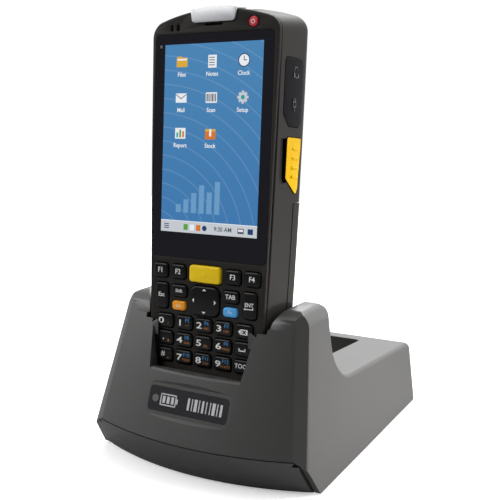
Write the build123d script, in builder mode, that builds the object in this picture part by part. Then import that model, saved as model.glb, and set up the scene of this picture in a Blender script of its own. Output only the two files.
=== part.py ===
from build123d import *
from math import cos, radians, sin, sqrt, tan
import os

# Portable barcode data terminal docked in its charging cradle.
# +Z is up, X runs across, the keypad and screen face -Y.
# The origin lies on the ground under the middle of the cradle.

os.makedirs("parts", exist_ok=True)

# ---------------------------------------------------------------- charging cradle
cradle_depth = 132.0
cradle_foot_width = 97.8
side_draft = 8.4
front_lean = 20.2
front_bow_radius = 122.0
parting_height = 15.0
front_corner_inset = 7.1
corner_draft = 9.9
corner_fall = 2.2
rear_corner_radius = 4.5
rear_peak_height = 21.0
cradle_wall = 2.4
ground_clearance = 0.6
deck_above_seat = 5.8
deck_side_radius = 2.2
deck_rear_radius = 7.0
horn_height = 35.8
horn_grip_depth = 25.4
horn_front_radius = 11.0
horn_rear_radius = 6.0
horn_valley_radius = 15.0
horn_shoulder_radius = 8.0
rim_start = 5.0
horn_face_inset = 14.9
parting_gap = 0.4
cut_margin = 2.0

# front opening and mouth of the terminal pocket
opening_half_low = 19.9
opening_half_high = 22.0
opening_low_height = 39.1
opening_high_height = 52.7
mouth_face_inset = 15.4
mouth_low_height = 56.5
mouth_face_height = 57.5
opening_turn_height = 57.3
opening_sill_chamfer = 0.7
mouth_corner_radius = 9.0
mouth_setback = 1.0
mouth_reach = 12.0
lead_in_height = 9.0
lead_in_spread = 7.6
lead_in_overrun = 0.5
front_skin = 2.4

# badge recess and lamp
badge_width = 34.6
badge_height = 9.2
badge_thickness = 0.8
badge_centre_height = 29.3
badge_corner_radius = 1.4
badge_dish_width = 37.4
badge_dish_height = 12.0
badge_dish_depth = 1.2
badge_dish_radius = 3.4
lamp_radius = 1.4
lamp_offset = 14.4
light_pipe_length = 7.6

# spare battery bay
bay_width = 49.0
bay_length = 59.0
bay_depth = 13.0
bay_corner_radius = 3.0
bay_to_horn = 16.8
bay_contact_count = 4
bay_contact_pitch = 4.0
bay_contact_width = 1.4
bay_contact_length = 4.0
bay_contact_rise = 1.2
bay_contact_height = 8.0

# underside, electronics and feet
cavity_top = 13.4
strip_thickness = 2.6
strip_bulge = 1.3
front_foot_setback = 7.6
diagonal_top_setback = 8.1
diagonal_foot_setback = 18.1
base_plate_thickness = 2.4
base_gap = 0.3
foot_radius = 5.0
foot_height = 1.5
foot_side_inset = 11.9
foot_front_inset = 26.0
foot_rear_inset = 14.0
foot_recess = 0.9
foot_chamfer = 0.4
screw_radius = 1.2
screw_head_radius = 2.6
screw_head_height = 1.2
screw_length = 8.0
screw_from_foot = 13.0
boss_radius = 3.0
board_thickness = 1.6
board_height = 6.4
board_width = 62.0
board_length = 84.0
standoff_radius = 2.6
standoff_peg_radius = 1.2
standoff_inset = 4.0
peg_rise = 0.8
inductor_offset = 18.0
inductor_size = 12.0
inductor_height = 3.6
inductor_corner_radius = 1.5
contact_count = 5
contact_pitch = 2.6
contact_pin_radius = 0.5
pin_gap = 0.05
contact_depth = 13.0
contact_pin_length = 8.4
contact_block_width = 15.6
contact_block_depth = 4.6
contact_block_length = 7.0
contact_rise = 0.5
contact_flange = 1.5
contact_pad_radius = 1.0
contact_pad_thickness = 0.8
contact_room_half = 22.0
contact_room_front = -4.0
contact_room_rear = 27.0
fit_gap = 0.1
inlet_offset = -24.0
socket_axis_height = 8.6
inlet_radius = 3.2
inlet_bore_radius = 2.7
inlet_body = 9.0
inlet_length = 12.0
inlet_pin_radius = 1.0
socket_offset = 2.0
socket_width = 8.4
socket_height = 5.6
socket_shell = 0.6
socket_length = 13.0
socket_collar = 0.9

# ---------------------------------------------------------------- terminal
terminal_lean = 4.3
seat_height = 30.3
seat_setback = 16.5
terminal_length = 141.7
terminal_thickness = 26.0
half_width_foot = 24.2
half_width_middle = 26.2
half_width_head = 26.9
middle_height = 72.0
head_height = 136.5
rear_growth = 0.5
rear_top_rise = 3.3
head_corner_radius = 6.0
foot_corner_radius = 6.0
rear_edge_radius = 5.5
shoulder_margin = 1.0
inner_bevel = 3.4
front_edge_chamfer = 0.5
seam_chamfer = 0.25
housing_wall = 1.8
front_plate = 2.0
pocket_clearance = 0.7
pocket_side_clearance = 0.4
pocket_corner_radius = 1.0
pocket_front_gap = 0.4
key_relief_depth = 1.5
key_relief_half = 23.0

# display
glass_width = 50.0
glass_height = 82.7
glass_bottom = 50.5
glass_thickness = 1.0
glass_corner_radius = 2.0
glass_clearance = 0.12
screen_width = 41.8
screen_height = 69.6
screen_bottom = 60.0
panel_border = 1.4
panel_thickness = 3.45
panel_gap = 0.15

# keypad
key_gap = 0.3
key_proud = 0.9
key_travel = 0.6
key_root = 0.1
key_flange = 0.45
key_flange_thickness = 0.4
key_edge_bevel = 0.4
number_pitch = 8.65
number_row_pitch = 6.65
number_top_row = 25.7
number_key_width = 7.3
number_key_height = 5.3
key_corner_radius = 1.3
function_row = 45.0
function_inner = 12.0
function_outer = 20.0
function_key_width = 6.5
function_key_height = 5.5
scan_key_width = 13.6
scan_key_height = 6.4
scan_key_proud = 1.3
nav_width = 13.0
nav_height = 11.2
nav_row = 34.9
nav_corner_radius = 3.0
tall_key_offset = 19.25
tall_key_row = 35.3
tall_key_width = 5.7
tall_key_height = 10.0
small_key_offset = 11.3
small_key_width = 6.9
upper_small_row = 37.7
upper_small_height = 4.6
lower_small_row = 32.0
colour_key_width = 6.2
colour_key_height = 3.6
nav_rock_gap = 0.35
nav_post_radius = 1.5
nav_post_gap = 0.06
power_offset = 16.6
power_row = 136.2
power_radius = 1.8
power_proud = 0.7
lens_inner = 15.3
lens_spacing = 2.8
lens_row = 135.6
lens_width = 1.1
lens_height = 2.3
earpiece_width = 7.6
earpiece_height = 0.9
earpiece_row = 136.2
earpiece_depth = 1.2

# terminal's badge, wrapped over the top edge
top_badge_high_half = 10.2
top_badge_low_half = 9.0
top_badge_bottom = 137.0
top_badge_proud = 0.7
top_badge_reach = 6.0

# inside the terminal
mat_half_width = 22.0
mat_bottom = 7.5
mat_top = 49.3
mat_front = 3.2
mat_corner_radius = 1.0
board_front = 4.6
terminal_board_thickness = 1.2
terminal_board_half = 22.0
terminal_board_bottom = 6.0
terminal_board_top = 133.0
terminal_board_corner_radius = 2.0

# scan engine and its window in the head
engine_width = 24.0
engine_height = 16.0
engine_depth = 13.5
engine_front = 5.9
engine_barrel = 3.0
engine_nose_width = 20.0
engine_nose_depth = 8.5
engine_lens_radius = 3.0
engine_lens_offset = 5.0
window_width = 25.0
window_depth = 8.6
window_row = 140.2
window_thickness = 1.2
window_ledge = 1.0
window_corner_radius = 2.0

# battery, its cover and the latch
cover_bottom = 6.8
cover_top = 72.5
cover_front_depth = 17.0
cover_proud = 0.15
cover_wall = 1.6
cover_gap = 0.3
battery_half_width = 20.0
battery_inset = 2.4
battery_depth = 6.4
battery_corner_radius = 2.0
latch_width = 12.0
latch_height = 6.0
latch_thickness = 1.5
latch_recess = 1.1
latch_travel = 2.5
latch_margin = 0.4
latch_corner_radius = 1.0
latch_stem_radius = 0.5
latch_rise = 3.5
latch_stem_width = 5.0
latch_stem_height = 3.0
latch_keeper_width = 8.0
latch_keeper_thickness = 0.8

# side triggers, as depth behind the face and height above the seat
trigger_front = 8.9
trigger_top = 96.5
trigger_rear_high = 19.7
trigger_rear_low = 18.6
trigger_rear_low_height = 78.0
trigger_tip_depth = 17.4
trigger_tip_height = 75.8
trigger_front_height = 81.8
trigger_corner_radius = 0.9
trigger_proud = 0.35
trigger_gap = 0.3
trigger_flange = 0.6
trigger_travel = 0.8
trigger_rib_count = 4
trigger_rib_pitch = 3.55
trigger_rib_width = 1.2
trigger_rib_length = 3.4
trigger_rib_proud = 0.25
trigger_rib_row = 87.5
trigger_rib_depth = 15.9
scoop_front = 4.3
scoop_bottom = 80.0
scoop_top = 96.0
scoop_radius = 1.8
scoop_cut = 1.0

# rubber cover over the sockets in the right side
port_cover_front = 5.1
port_cover_rear = 19.4
port_cover_bottom = 104.5
port_cover_top = 125.0
port_cover_radius = 2.4
port_cover_thickness = 1.0
port_cover_gap = 0.2
port_cover_proud = 0.15
port_tab_front = 9.5
port_tab_bottom = 100.2
port_tab_bevel = 2.2
port_tab_radius = 0.8
port_axis_depth = 13.8
plug_length = 0.8
plug_gap = 0.25
headset_height = 119.7
headset_radius = 2.4
headset_bore_radius = 1.75
headset_body_radius = 3.2
headset_length = 7.0
service_height = 109.0
service_width = 2.6
service_length = 6.6
service_shell = 0.6
service_depth = 5.5
service_tongue_margin = 1.0
jack_sink = 0.1


# ---------------------------------------------------------------- shared places
foot_half_x = cradle_foot_width / 2 - foot_side_inset
foot_front_y = foot_front_inset - cradle_depth / 2
foot_rear_y = cradle_depth / 2 - foot_rear_inset
front_corner_half = cradle_foot_width / 2 - front_corner_inset
horn_face_half = cradle_foot_width / 2 - horn_face_inset
mouth_face_half = cradle_foot_width / 2 - mouth_face_inset
latch_bottom = cover_top + latch_rise
lean_sin = sin(radians(terminal_lean))
lean_cos = cos(radians(terminal_lean))
seat_point = (0, seat_setback - cradle_depth / 2, seat_height)
# face_plane: X across, Y up along the terminal, Z out of its face; its origin is the middle of the seat
face_plane = Plane(origin=seat_point, x_dir=(1, 0, 0), z_dir=(0, -lean_cos, lean_sin))
# side_plane: X back through the terminal, Y up along it, Z towards +X
side_plane = Plane(origin=seat_point, x_dir=(0, lean_cos, -lean_sin), z_dir=(1, 0, 0))


def seat_plane(above_seat):
    """A plane square to the terminal's length: X across, Y back, at a height above the seat."""
    return Plane(origin=side_plane.from_local_coords((0, above_seat, 0)), x_dir=(1, 0, 0),
                 z_dir=(0, lean_sin, lean_cos))


def save(piece, name):
    piece.part.label = name
    export_step(piece.part, f"parts/{name}.step")


def nearest(items, *point):
    return items.sort_by_distance(point)[0]


# ---------------------------------------------------------------- cradle form
def front_y(height):
    return (height - parting_height) * tan(radians(front_lean)) - cradle_depth / 2


def side_x(height):
    return cradle_foot_width / 2 - height * tan(radians(side_draft))


def corner_x(height):
    return front_corner_half - (height - parting_height) * tan(radians(corner_draft))


def rear_y(height):
    return cradle_depth / 2 - (rear_peak_height - height) * tan(radians(terminal_lean))


def bow(x):
    """How far the bowed front has fallen back at a distance x from its middle."""
    return front_bow_radius - sqrt(front_bow_radius**2 - x**2)


def cradle_plan(height, inset=0.0):
    """Plan of the cradle at one height: bowed front, turned front corners, straight sides and rear."""
    corner = corner_x(height)
    corner_y = front_y(height) + bow(corner)
    side = side_x(height)
    slope = corner / front_bow_radius
    with BuildSketch(Plane.XY.offset(height)) as plan:
        with BuildLine():
            ThreePointArc((-corner, corner_y), (0, front_y(height)), (corner, corner_y))
            TangentArc((corner, corner_y), (side, corner_y + corner_fall), tangent=(sqrt(1 - slope**2), slope))
            TangentArc((-corner, corner_y), (-side, corner_y + corner_fall), tangent=(-sqrt(1 - slope**2), slope))
            Polyline((side, corner_y + corner_fall), (side, rear_y(height)), (-side, rear_y(height)),
                     (-side, corner_y + corner_fall))
        make_face()
        fillet(plan.vertices().group_by(Axis.Y)[-1], rear_corner_radius)
        if inset:
            offset(amount=-inset, kind=Kind.INTERSECTION)
    return plan.sketch


def cradle_side_profile():
    """Side view of the horns and deck, square to the terminal; the rear line lies a hair behind the rear wall."""
    face_slope = tan(radians(front_lean - terminal_lean))
    foot_y = front_y(parting_height) + bow(horn_face_half)
    face_foot = face_plane.to_local_coords(Vector(0, foot_y, parting_height))
    face_back = -face_foot.Z + (horn_height - face_foot.Y) * face_slope
    turn = horn_front_radius * tan(radians(45 - (front_lean - terminal_lean) / 2))
    hair = 0.05
    rear = side_plane.to_local_coords(Vector(0, rear_y(rear_peak_height), rear_peak_height)).X + hair
    clear = cradle_depth / 2
    with BuildSketch(side_plane.offset(-cradle_foot_width / 2)) as profile:
        with BuildLine():
            Polyline((-clear, -clear), (-clear, horn_height - turn),
                     (face_back - turn * face_slope, horn_height - turn), (face_back, horn_height),
                     (horn_grip_depth, horn_height), (horn_grip_depth, deck_above_seat),
                     (rear, deck_above_seat), (rear, -clear), close=True)
        make_face()
        fillet(nearest(profile.vertices(), face_back, horn_height), horn_front_radius)
        fillet(nearest(profile.vertices(), horn_grip_depth, horn_height), horn_rear_radius)
        fillet(nearest(profile.vertices(), horn_grip_depth, deck_above_seat), horn_valley_radius)
        fillet(nearest(profile.vertices(), rear, deck_above_seat), deck_rear_radius)
    return profile.sketch


def horn_front_view():
    """Front view of the rounded outer shoulders of the horns, a hair outside the drafted sides."""
    crown = side_plane.from_local_coords((horn_grip_depth / 2, horn_height, 0)).Z
    hair = 0.02
    with BuildSketch(Plane.XZ.offset(-cradle_depth)) as view:
        with BuildLine():
            Polyline((-side_x(0) - hair, 0), (-side_x(crown) - hair, crown), (side_x(crown) + hair, crown),
                     (side_x(0) + hair, 0), close=True)
        make_face()
        fillet(view.vertices().group_by(Axis.Y)[-1], horn_shoulder_radius)
    return view.sketch


def mouth_plan(y):
    """Bevelled mouth of the pocket where it crosses one upright plane: it closes by 45 degrees as it goes back."""
    face_y = front_y(mouth_face_height) + bow(mouth_face_half) + mouth_setback
    low_y = front_y(mouth_low_height) + bow(opening_half_high)
    half = mouth_face_half + face_y - y
    low = mouth_low_height + y - low_y
    high = 2 * horn_height + seat_height
    with BuildSketch(Plane.XZ.offset(-y)) as outline:
        with Locations((0, (low + high) / 2)):
            RectangleRounded(2 * half, high - low, mouth_corner_radius + face_y - y)
    return outline.sketch.face()


def lead_in_view():
    """Front view of the rounded lead-in at the top of the pocket's side walls."""
    crown = side_plane.from_local_coords((horn_grip_depth / 2, horn_height, 0)).Z
    start = (pocket_half, crown - lead_in_height)
    end = (pocket_half + lead_in_spread, crown + lead_in_overrun)
    with BuildSketch(Plane.XZ.offset(-cradle_depth)) as view:
        with BuildLine():
            TangentArc(start, end, tangent=(0, 1))
            Polyline(end, (end[0], 2 * crown), (0, 2 * crown), (0, start[1]), start)
        make_face()
        mirror(about=Plane.YZ)
    return view.sketch


def opening_view():
    """Front view of the cut in the front wall that shows the lower keys; its sides curve out at the top."""
    flare = (opening_half_high - opening_half_low) / (opening_high_height - opening_low_height)
    crown = opening_low_height + horn_height
    turn_half = pocket_half + fit_gap
    with BuildSketch(Plane.XZ.offset(-seat_plane(0).origin.Y)) as view:
        with BuildLine():
            TangentArc((opening_half_high, opening_high_height), (turn_half, opening_turn_height),
                       tangent=(flare, 1))
            Polyline((turn_half, opening_turn_height), (turn_half, crown), (0, crown), (0, opening_low_height),
                     (opening_half_low, opening_low_height), (opening_half_high, opening_high_height))
        make_face()
        mirror(about=Plane.YZ)
    return view.sketch


def parting_profile():
    """Side view of what the base takes from the front of the housing, under the parting line."""
    top_y = diagonal_top_setback - cradle_depth / 2
    foot_y = diagonal_foot_setback - cradle_depth / 2
    with BuildSketch(Plane.YZ.offset(-cradle_foot_width)) as profile:
        with BuildLine():
            Polyline((-cradle_depth, -foot_height), (-cradle_depth, parting_height), (top_y, parting_height),
                     (foot_y, 0), (foot_y, -foot_height), close=True)
        make_face()
    return profile.sketch


def between_walls_view(y, top, gap=0.0):
    """Front view of the room between the cradle's side walls, from the ground to a height."""
    foot_half = side_x(0) - cradle_wall - gap
    top_half = side_x(top) - cradle_wall - gap
    with BuildSketch(Plane.XZ.offset(-y)) as view:
        with BuildLine():
            Polyline((-foot_half, 0), (-top_half, top), (top_half, top), (foot_half, 0), close=True)
        make_face()
    return view.sketch


pocket_half = half_width_middle + pocket_side_clearance
badge_plane = Plane(origin=(0, front_y(badge_centre_height), badge_centre_height), x_dir=(1, 0, 0),
                    z_dir=(0, -cos(radians(front_lean)), sin(radians(front_lean))))
badge_floor = -badge_dish_depth - badge_thickness
gap_front = side_plane.to_local_coords(
    Vector(0, front_y(opening_low_height) + bow(opening_half_low) + front_skin, opening_low_height)).X
bay_front = horn_grip_depth + bay_to_horn
plate_top = ground_clearance + base_plate_thickness
strip_foot_radius = front_bow_radius - front_foot_setback
bow_centre_y = front_bow_radius - cradle_depth / 2
foot_places = [(x, y) for x in (-foot_half_x, foot_half_x) for y in (foot_front_y, foot_rear_y)]
screw_places = [(x, y) for x in (-foot_half_x, foot_half_x)
                for y in (foot_front_y + screw_from_foot, foot_rear_y - screw_from_foot)]


def contact_block_plan(above_seat, growth=0.0):
    """Outline of the block that carries the charging pins, at a height above the seat."""
    with BuildSketch(seat_plane(above_seat)) as outline:
        with Locations((0, contact_depth)):
            Rectangle(contact_block_width + growth, contact_block_depth + growth)
    return outline.sketch


def contact_circles(above_seat, radius):
    with BuildSketch(seat_plane(above_seat)) as circles:
        with Locations((0, contact_depth)):
            with GridLocations(contact_pitch, 1, contact_count, 1):
                Circle(radius)
    return circles.sketch


def bay_contact_plan(above_floor, growth=0.0):
    """Outlines of the spare battery's contacts at a height above the floor of its bay."""
    with BuildSketch(seat_plane(deck_above_seat - bay_depth + above_floor)) as outlines:
        with Locations((0, bay_front + bay_contact_length)):
            with GridLocations(bay_contact_pitch, 1, bay_contact_count, 1):
                Rectangle(bay_contact_width + growth, bay_contact_length + growth)
    return outlines.sketch


def rear_wall_plane(x, inside=0.0):
    """Plane on the rear wall at the sockets' height, facing back; inside is how far it lies in from the face."""
    y = rear_y(socket_axis_height - inlet_body / 2) - inside
    return Plane(origin=(x, y, socket_axis_height), x_dir=(-1, 0, 0), z_dir=(0, 1, 0))


# Upper housing of the cradle: one moulding with the two horns, the pocket, the front opening and the battery bay.
with BuildPart() as cradle_housing:
    loft([cradle_plan(ground_clearance).face(), cradle_plan(seat_height + horn_height + cut_margin).face()],
         ruled=True)
    extrude(cradle_side_profile(), amount=cradle_foot_width, mode=Mode.INTERSECT)
    sides = cradle_housing.faces().sort_by(Axis.X)
    rim = sides[0].edges() + sides[-1].edges()
    rim = rim.filter_by(lambda edge: edge.center().Z > rear_peak_height)
    rim = rim.filter_by(lambda edge: edge.center().Y > seat_point[1] + rim_start)
    fillet(rim, deck_side_radius)
    extrude(horn_front_view(), amount=2 * cradle_depth, mode=Mode.INTERSECT)

    # pocket, front opening and the bevelled mouth
    with BuildSketch(seat_plane(0)) as pocket:
        with Locations((0, (terminal_thickness + pocket_clearance - pocket_front_gap) / 2)):
            RectangleRounded(2 * pocket_half, terminal_thickness + pocket_clearance + pocket_front_gap,
                             pocket_corner_radius)
        Rectangle(2 * key_relief_half, 2 * key_relief_depth)
    extrude(pocket.sketch, amount=2 * horn_height, mode=Mode.SUBTRACT)
    with BuildSketch(seat_plane(0)) as front_gap:
        with Locations((0, gap_front / 2)):
            Rectangle(2 * opening_half_low, -gap_front)
    extrude(front_gap.sketch, amount=horn_height, mode=Mode.SUBTRACT)
    extrude(opening_view(), amount=cradle_depth / 2, mode=Mode.SUBTRACT)
    sill = nearest(cradle_housing.edges(), 0, front_y(opening_low_height), opening_low_height)
    chamfer(sill, opening_sill_chamfer)
    loft([mouth_plan(seat_point[1] - cut_margin), mouth_plan(seat_point[1] + mouth_reach)], ruled=True,
         mode=Mode.SUBTRACT)
    extrude(lead_in_view(), amount=2 * cradle_depth, mode=Mode.SUBTRACT)

    # battery bay with slots for its contacts
    with BuildSketch(seat_plane(deck_above_seat + cut_margin)) as bay:
        with Locations((0, bay_front + bay_length / 2)):
            RectangleRounded(bay_width, bay_length, bay_corner_radius)
    extrude(bay.sketch, amount=-bay_depth - cut_margin, mode=Mode.SUBTRACT)
    extrude(bay_contact_plan(0, 2 * fit_gap), amount=-bay_depth, mode=Mode.SUBTRACT)

    # badge recess with the hole of the light pipe
    with BuildSketch(badge_plane.offset(-badge_dish_depth)) as dish:
        RectangleRounded(badge_dish_width, badge_dish_height, badge_dish_radius)
    extrude(dish.sketch, amount=badge_dish_depth * 2, taper=-45, mode=Mode.SUBTRACT)
    with BuildSketch(badge_plane.offset(badge_floor)) as badge_seat:
        RectangleRounded(badge_width, badge_height, badge_corner_radius)
    extrude(badge_seat.sketch, amount=badge_dish_depth * 2, mode=Mode.SUBTRACT)
    with BuildSketch(badge_plane.offset(badge_floor)) as lamp_hole:
        with Locations((-lamp_offset, 0)):
            Circle(lamp_radius + fit_gap)
    extrude(lamp_hole.sketch, amount=-light_pipe_length, mode=Mode.SUBTRACT)

    # hollow underside, room for the contact block and screw bosses
    loft([cradle_plan(-cut_margin / 2, cradle_wall).face(), cradle_plan(cavity_top, cradle_wall).face()],
         ruled=True, mode=Mode.SUBTRACT)
    extrude(between_walls_view(diagonal_foot_setback - cradle_depth / 2, cavity_top), amount=diagonal_foot_setback,
            mode=Mode.SUBTRACT)
    with BuildSketch(seat_plane(-cradle_wall)) as contact_room:
        with Locations((0, (contact_room_front + contact_room_rear) / 2)):
            Rectangle(2 * contact_room_half, contact_room_rear - contact_room_front)
    extrude(contact_room.sketch, amount=cavity_top - seat_height, mode=Mode.SUBTRACT)
    extrude(contact_block_plan(cut_margin / 2, 2 * fit_gap), amount=-2 * cradle_wall, mode=Mode.SUBTRACT)
    with BuildSketch(Plane.XY.offset(plate_top + fit_gap)) as bosses:
        with Locations(screw_places):
            Circle(boss_radius)
    extrude(bosses.sketch, amount=cavity_top - plate_top + cut_margin / 2)
    with BuildSketch(Plane.XY.offset(plate_top)) as boss_holes:
        with Locations(screw_places):
            Circle(screw_radius + fit_gap)
    extrude(boss_holes.sketch, amount=screw_length, mode=Mode.SUBTRACT)

    # holes for the two sockets in the rear wall
    with BuildSketch(rear_wall_plane(inlet_offset, 2 * cradle_wall)) as inlet_hole:
        Circle(inlet_radius + fit_gap)
    extrude(inlet_hole.sketch, amount=4 * cradle_wall, mode=Mode.SUBTRACT)
    with BuildSketch(rear_wall_plane(socket_offset, 2 * cradle_wall)) as socket_hole:
        Rectangle(socket_width + 2 * fit_gap, socket_height + 2 * fit_gap)
    extrude(socket_hole.sketch, amount=4 * cradle_wall, mode=Mode.SUBTRACT)
    extrude(parting_profile(), amount=2 * cradle_foot_width, mode=Mode.SUBTRACT)
save(cradle_housing, "cradle_housing")

# Base: a floor plate that turns up at the front into the bowed strip under the parting line.
with BuildPart() as cradle_base:
    extrude(cradle_plan(plate_top, cradle_wall + base_gap), amount=-base_plate_thickness)
    with BuildSketch() as front_limit:
        with Locations((0, bow_centre_y)):
            Circle(strip_foot_radius)
    extrude(front_limit.sketch, amount=cradle_depth, mode=Mode.INTERSECT)
    radial_plane = Plane(origin=(0, bow_centre_y, 0), x_dir=(-1, 0, 0), z_dir=(0, 1, 0))
    with BuildSketch(radial_plane) as strip_profile:
        strip_top = parting_height - parting_gap
        middle_radius = (strip_foot_radius + front_bow_radius) / 2 + strip_bulge
        middle_height_of_strip = (strip_top + ground_clearance) / 2
        inner_foot = strip_foot_radius - strip_thickness
        with BuildLine():
            ThreePointArc((strip_foot_radius, ground_clearance), (middle_radius, middle_height_of_strip),
                          (front_bow_radius, strip_top))
            Line((front_bow_radius, strip_top), (front_bow_radius - strip_thickness, strip_top))
            ThreePointArc((front_bow_radius - strip_thickness, strip_top),
                          (middle_radius - strip_thickness, middle_height_of_strip), (inner_foot, ground_clearance))
            Line((inner_foot, ground_clearance), (strip_foot_radius, ground_clearance))
        make_face()
    revolve(strip_profile.sketch, axis=Axis((0, bow_centre_y, 0), (0, 0, 1)), revolution_arc=180)
    extrude(between_walls_view(cradle_depth, parting_height, base_gap), amount=2 * cradle_depth, mode=Mode.INTERSECT)
    with BuildSketch(Plane.YZ.offset(-cradle_foot_width)) as roof_clearance:
        roof_front = diagonal_top_setback - cradle_depth / 2 - base_gap
        with Locations((roof_front, cavity_top - base_gap)):
            Rectangle(cradle_depth, parting_height, align=(Align.MIN, Align.MIN))
    extrude(roof_clearance.sketch, amount=2 * cradle_foot_width, mode=Mode.SUBTRACT)

    # recesses for the rubber feet, screw holes and the board's standoffs
    with BuildSketch(Plane.XY.offset(ground_clearance)) as foot_recesses:
        with Locations(foot_places):
            Circle(foot_radius + fit_gap)
    extrude(foot_recesses.sketch, amount=foot_recess, mode=Mode.SUBTRACT)
    with Locations(Plane(origin=(0, 0, ground_clearance), x_dir=(-1, 0, 0), z_dir=(0, 0, -1))):
        with Locations([(-x, y) for x, y in screw_places]):
            CounterBoreHole(screw_radius + fit_gap, screw_head_radius + fit_gap, screw_head_height + fit_gap)
    with BuildSketch(Plane.XY.offset(plate_top)) as standoffs:
        with GridLocations(board_width - 2 * standoff_inset, board_length - 2 * standoff_inset, 2, 2):
            Circle(standoff_radius)
    extrude(standoffs.sketch, amount=board_height - plate_top)
    with BuildSketch(Plane.XY.offset(board_height)) as pegs:
        with GridLocations(board_width - 2 * standoff_inset, board_length - 2 * standoff_inset, 2, 2):
            Circle(standoff_peg_radius)
    extrude(pegs.sketch, amount=board_thickness + peg_rise)
save(cradle_base, "cradle_base")

with BuildPart() as rubber_feet:
    with BuildSketch() as discs:
        with Locations(foot_places):
            Circle(foot_radius)
    extrude(discs.sketch, amount=foot_height)
    chamfer(rubber_feet.edges().group_by(Axis.Z)[0], foot_chamfer)
save(rubber_feet, "rubber_feet")

with BuildPart() as base_screws:
    head_top = ground_clearance + screw_head_height + fit_gap
    with BuildSketch(Plane.XY.offset(head_top)) as heads:
        with Locations(screw_places):
            Circle(screw_head_radius)
    extrude(heads.sketch, amount=-screw_head_height)
    with BuildSketch(Plane.XY.offset(head_top)) as shanks:
        with Locations(screw_places):
            Circle(screw_radius)
    extrude(shanks.sketch, amount=screw_length)
    with BuildSketch(Plane.XY.offset(head_top - screw_head_height)) as drives:
        with Locations(screw_places):
            RegularPolygon(screw_radius, 6)
    extrude(drives.sketch, amount=screw_head_height / 2, mode=Mode.SUBTRACT)
save(base_screws, "base_screws")

# Blank badge plate and the light pipe that shows through it.
with BuildPart() as badge_plate:
    with BuildSketch(badge_plane.offset(badge_floor)) as outline:
        RectangleRounded(badge_width - 2 * fit_gap, badge_height - 2 * fit_gap, badge_corner_radius)
        with Locations((-lamp_offset, 0)):
            Circle(lamp_radius + fit_gap, mode=Mode.SUBTRACT)
    extrude(outline.sketch, amount=badge_thickness)
save(badge_plate, "badge_plate")

with BuildPart() as status_lens:
    with BuildSketch(badge_plane.offset(-badge_dish_depth)) as outline:
        with Locations((-lamp_offset, 0)):
            Circle(lamp_radius)
    extrude(outline.sketch, amount=-light_pipe_length)
save(status_lens, "status_lens")

# Charger electronics in the hollow underside.
with BuildPart() as charger_board:
    with BuildSketch(Plane.XY.offset(board_height)) as outline:
        Rectangle(board_width, board_length)
        with GridLocations(board_width - 2 * standoff_inset, board_length - 2 * standoff_inset, 2, 2):
            Circle(standoff_peg_radius + fit_gap, mode=Mode.SUBTRACT)
    extrude(outline.sketch, amount=board_thickness)
    with BuildSketch(Plane.XY.offset(board_height + board_thickness)) as parts_on_board:
        with Locations((-inductor_offset, 0), (inductor_offset, inductor_offset)):
            RectangleRounded(inductor_size, inductor_size, inductor_corner_radius)
        with Locations((inductor_offset, -inductor_offset)):
            Rectangle(inductor_size / 2, 2 * inductor_size)
    extrude(parts_on_board.sketch, amount=inductor_height)
save(charger_board, "charger_board")

with BuildPart() as dock_contact_block:
    extrude(contact_block_plan(-fit_gap), amount=-contact_block_length)
    extrude(contact_block_plan(-cradle_wall, 2 * contact_flange), amount=-contact_flange)
    extrude(contact_circles(0, contact_pin_radius + pin_gap), amount=-2 * contact_block_length, mode=Mode.SUBTRACT)
save(dock_contact_block, "dock_contact_block")

with BuildPart() as dock_pins:
    extrude(contact_circles(contact_rise, contact_pin_radius), amount=-contact_pin_length)
save(dock_pins, "dock_pins")

with BuildPart() as bay_contacts:
    extrude(bay_contact_plan(bay_contact_rise), amount=-bay_contact_height)
save(bay_contacts, "bay_contacts")

# Sockets in the rear wall: a round power inlet and a data socket.
with BuildPart() as power_inlet:
    inlet_face = rear_wall_plane(inlet_offset, cradle_wall + fit_gap)
    with BuildSketch(inlet_face) as body:
        Rectangle(inlet_body, inlet_body)
    extrude(body.sketch, amount=-inlet_length)
    with BuildSketch(inlet_face) as nose:
        Circle(inlet_radius)
    extrude(nose.sketch, amount=cradle_wall)
    with BuildSketch(inlet_face.offset(cradle_wall)) as bore:
        Circle(inlet_bore_radius)
        Circle(inlet_pin_radius, mode=Mode.SUBTRACT)
    extrude(bore.sketch, amount=-inlet_length, mode=Mode.SUBTRACT)
save(power_inlet, "power_inlet")

with BuildPart() as usb_socket:
    socket_face = rear_wall_plane(socket_offset, cradle_wall + fit_gap)
    with BuildSketch(socket_face.offset(cradle_wall)) as shell:
        Rectangle(socket_width, socket_height)
    extrude(shell.sketch, amount=-socket_length)
    with BuildSketch(socket_face) as collar:
        Rectangle(socket_width + 2 * socket_collar, socket_height + 2 * socket_collar)
    extrude(collar.sketch, amount=-socket_collar)
    with BuildSketch(socket_face.offset(cradle_wall)) as mouth:
        Rectangle(socket_width - 2 * socket_shell, socket_height - 2 * socket_shell)
        Rectangle(socket_width - 6 * socket_shell, 2 * socket_shell, mode=Mode.SUBTRACT)
    extrude(mouth.sketch, amount=socket_collar - socket_length, mode=Mode.SUBTRACT)
save(usb_socket, "usb_socket")


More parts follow.
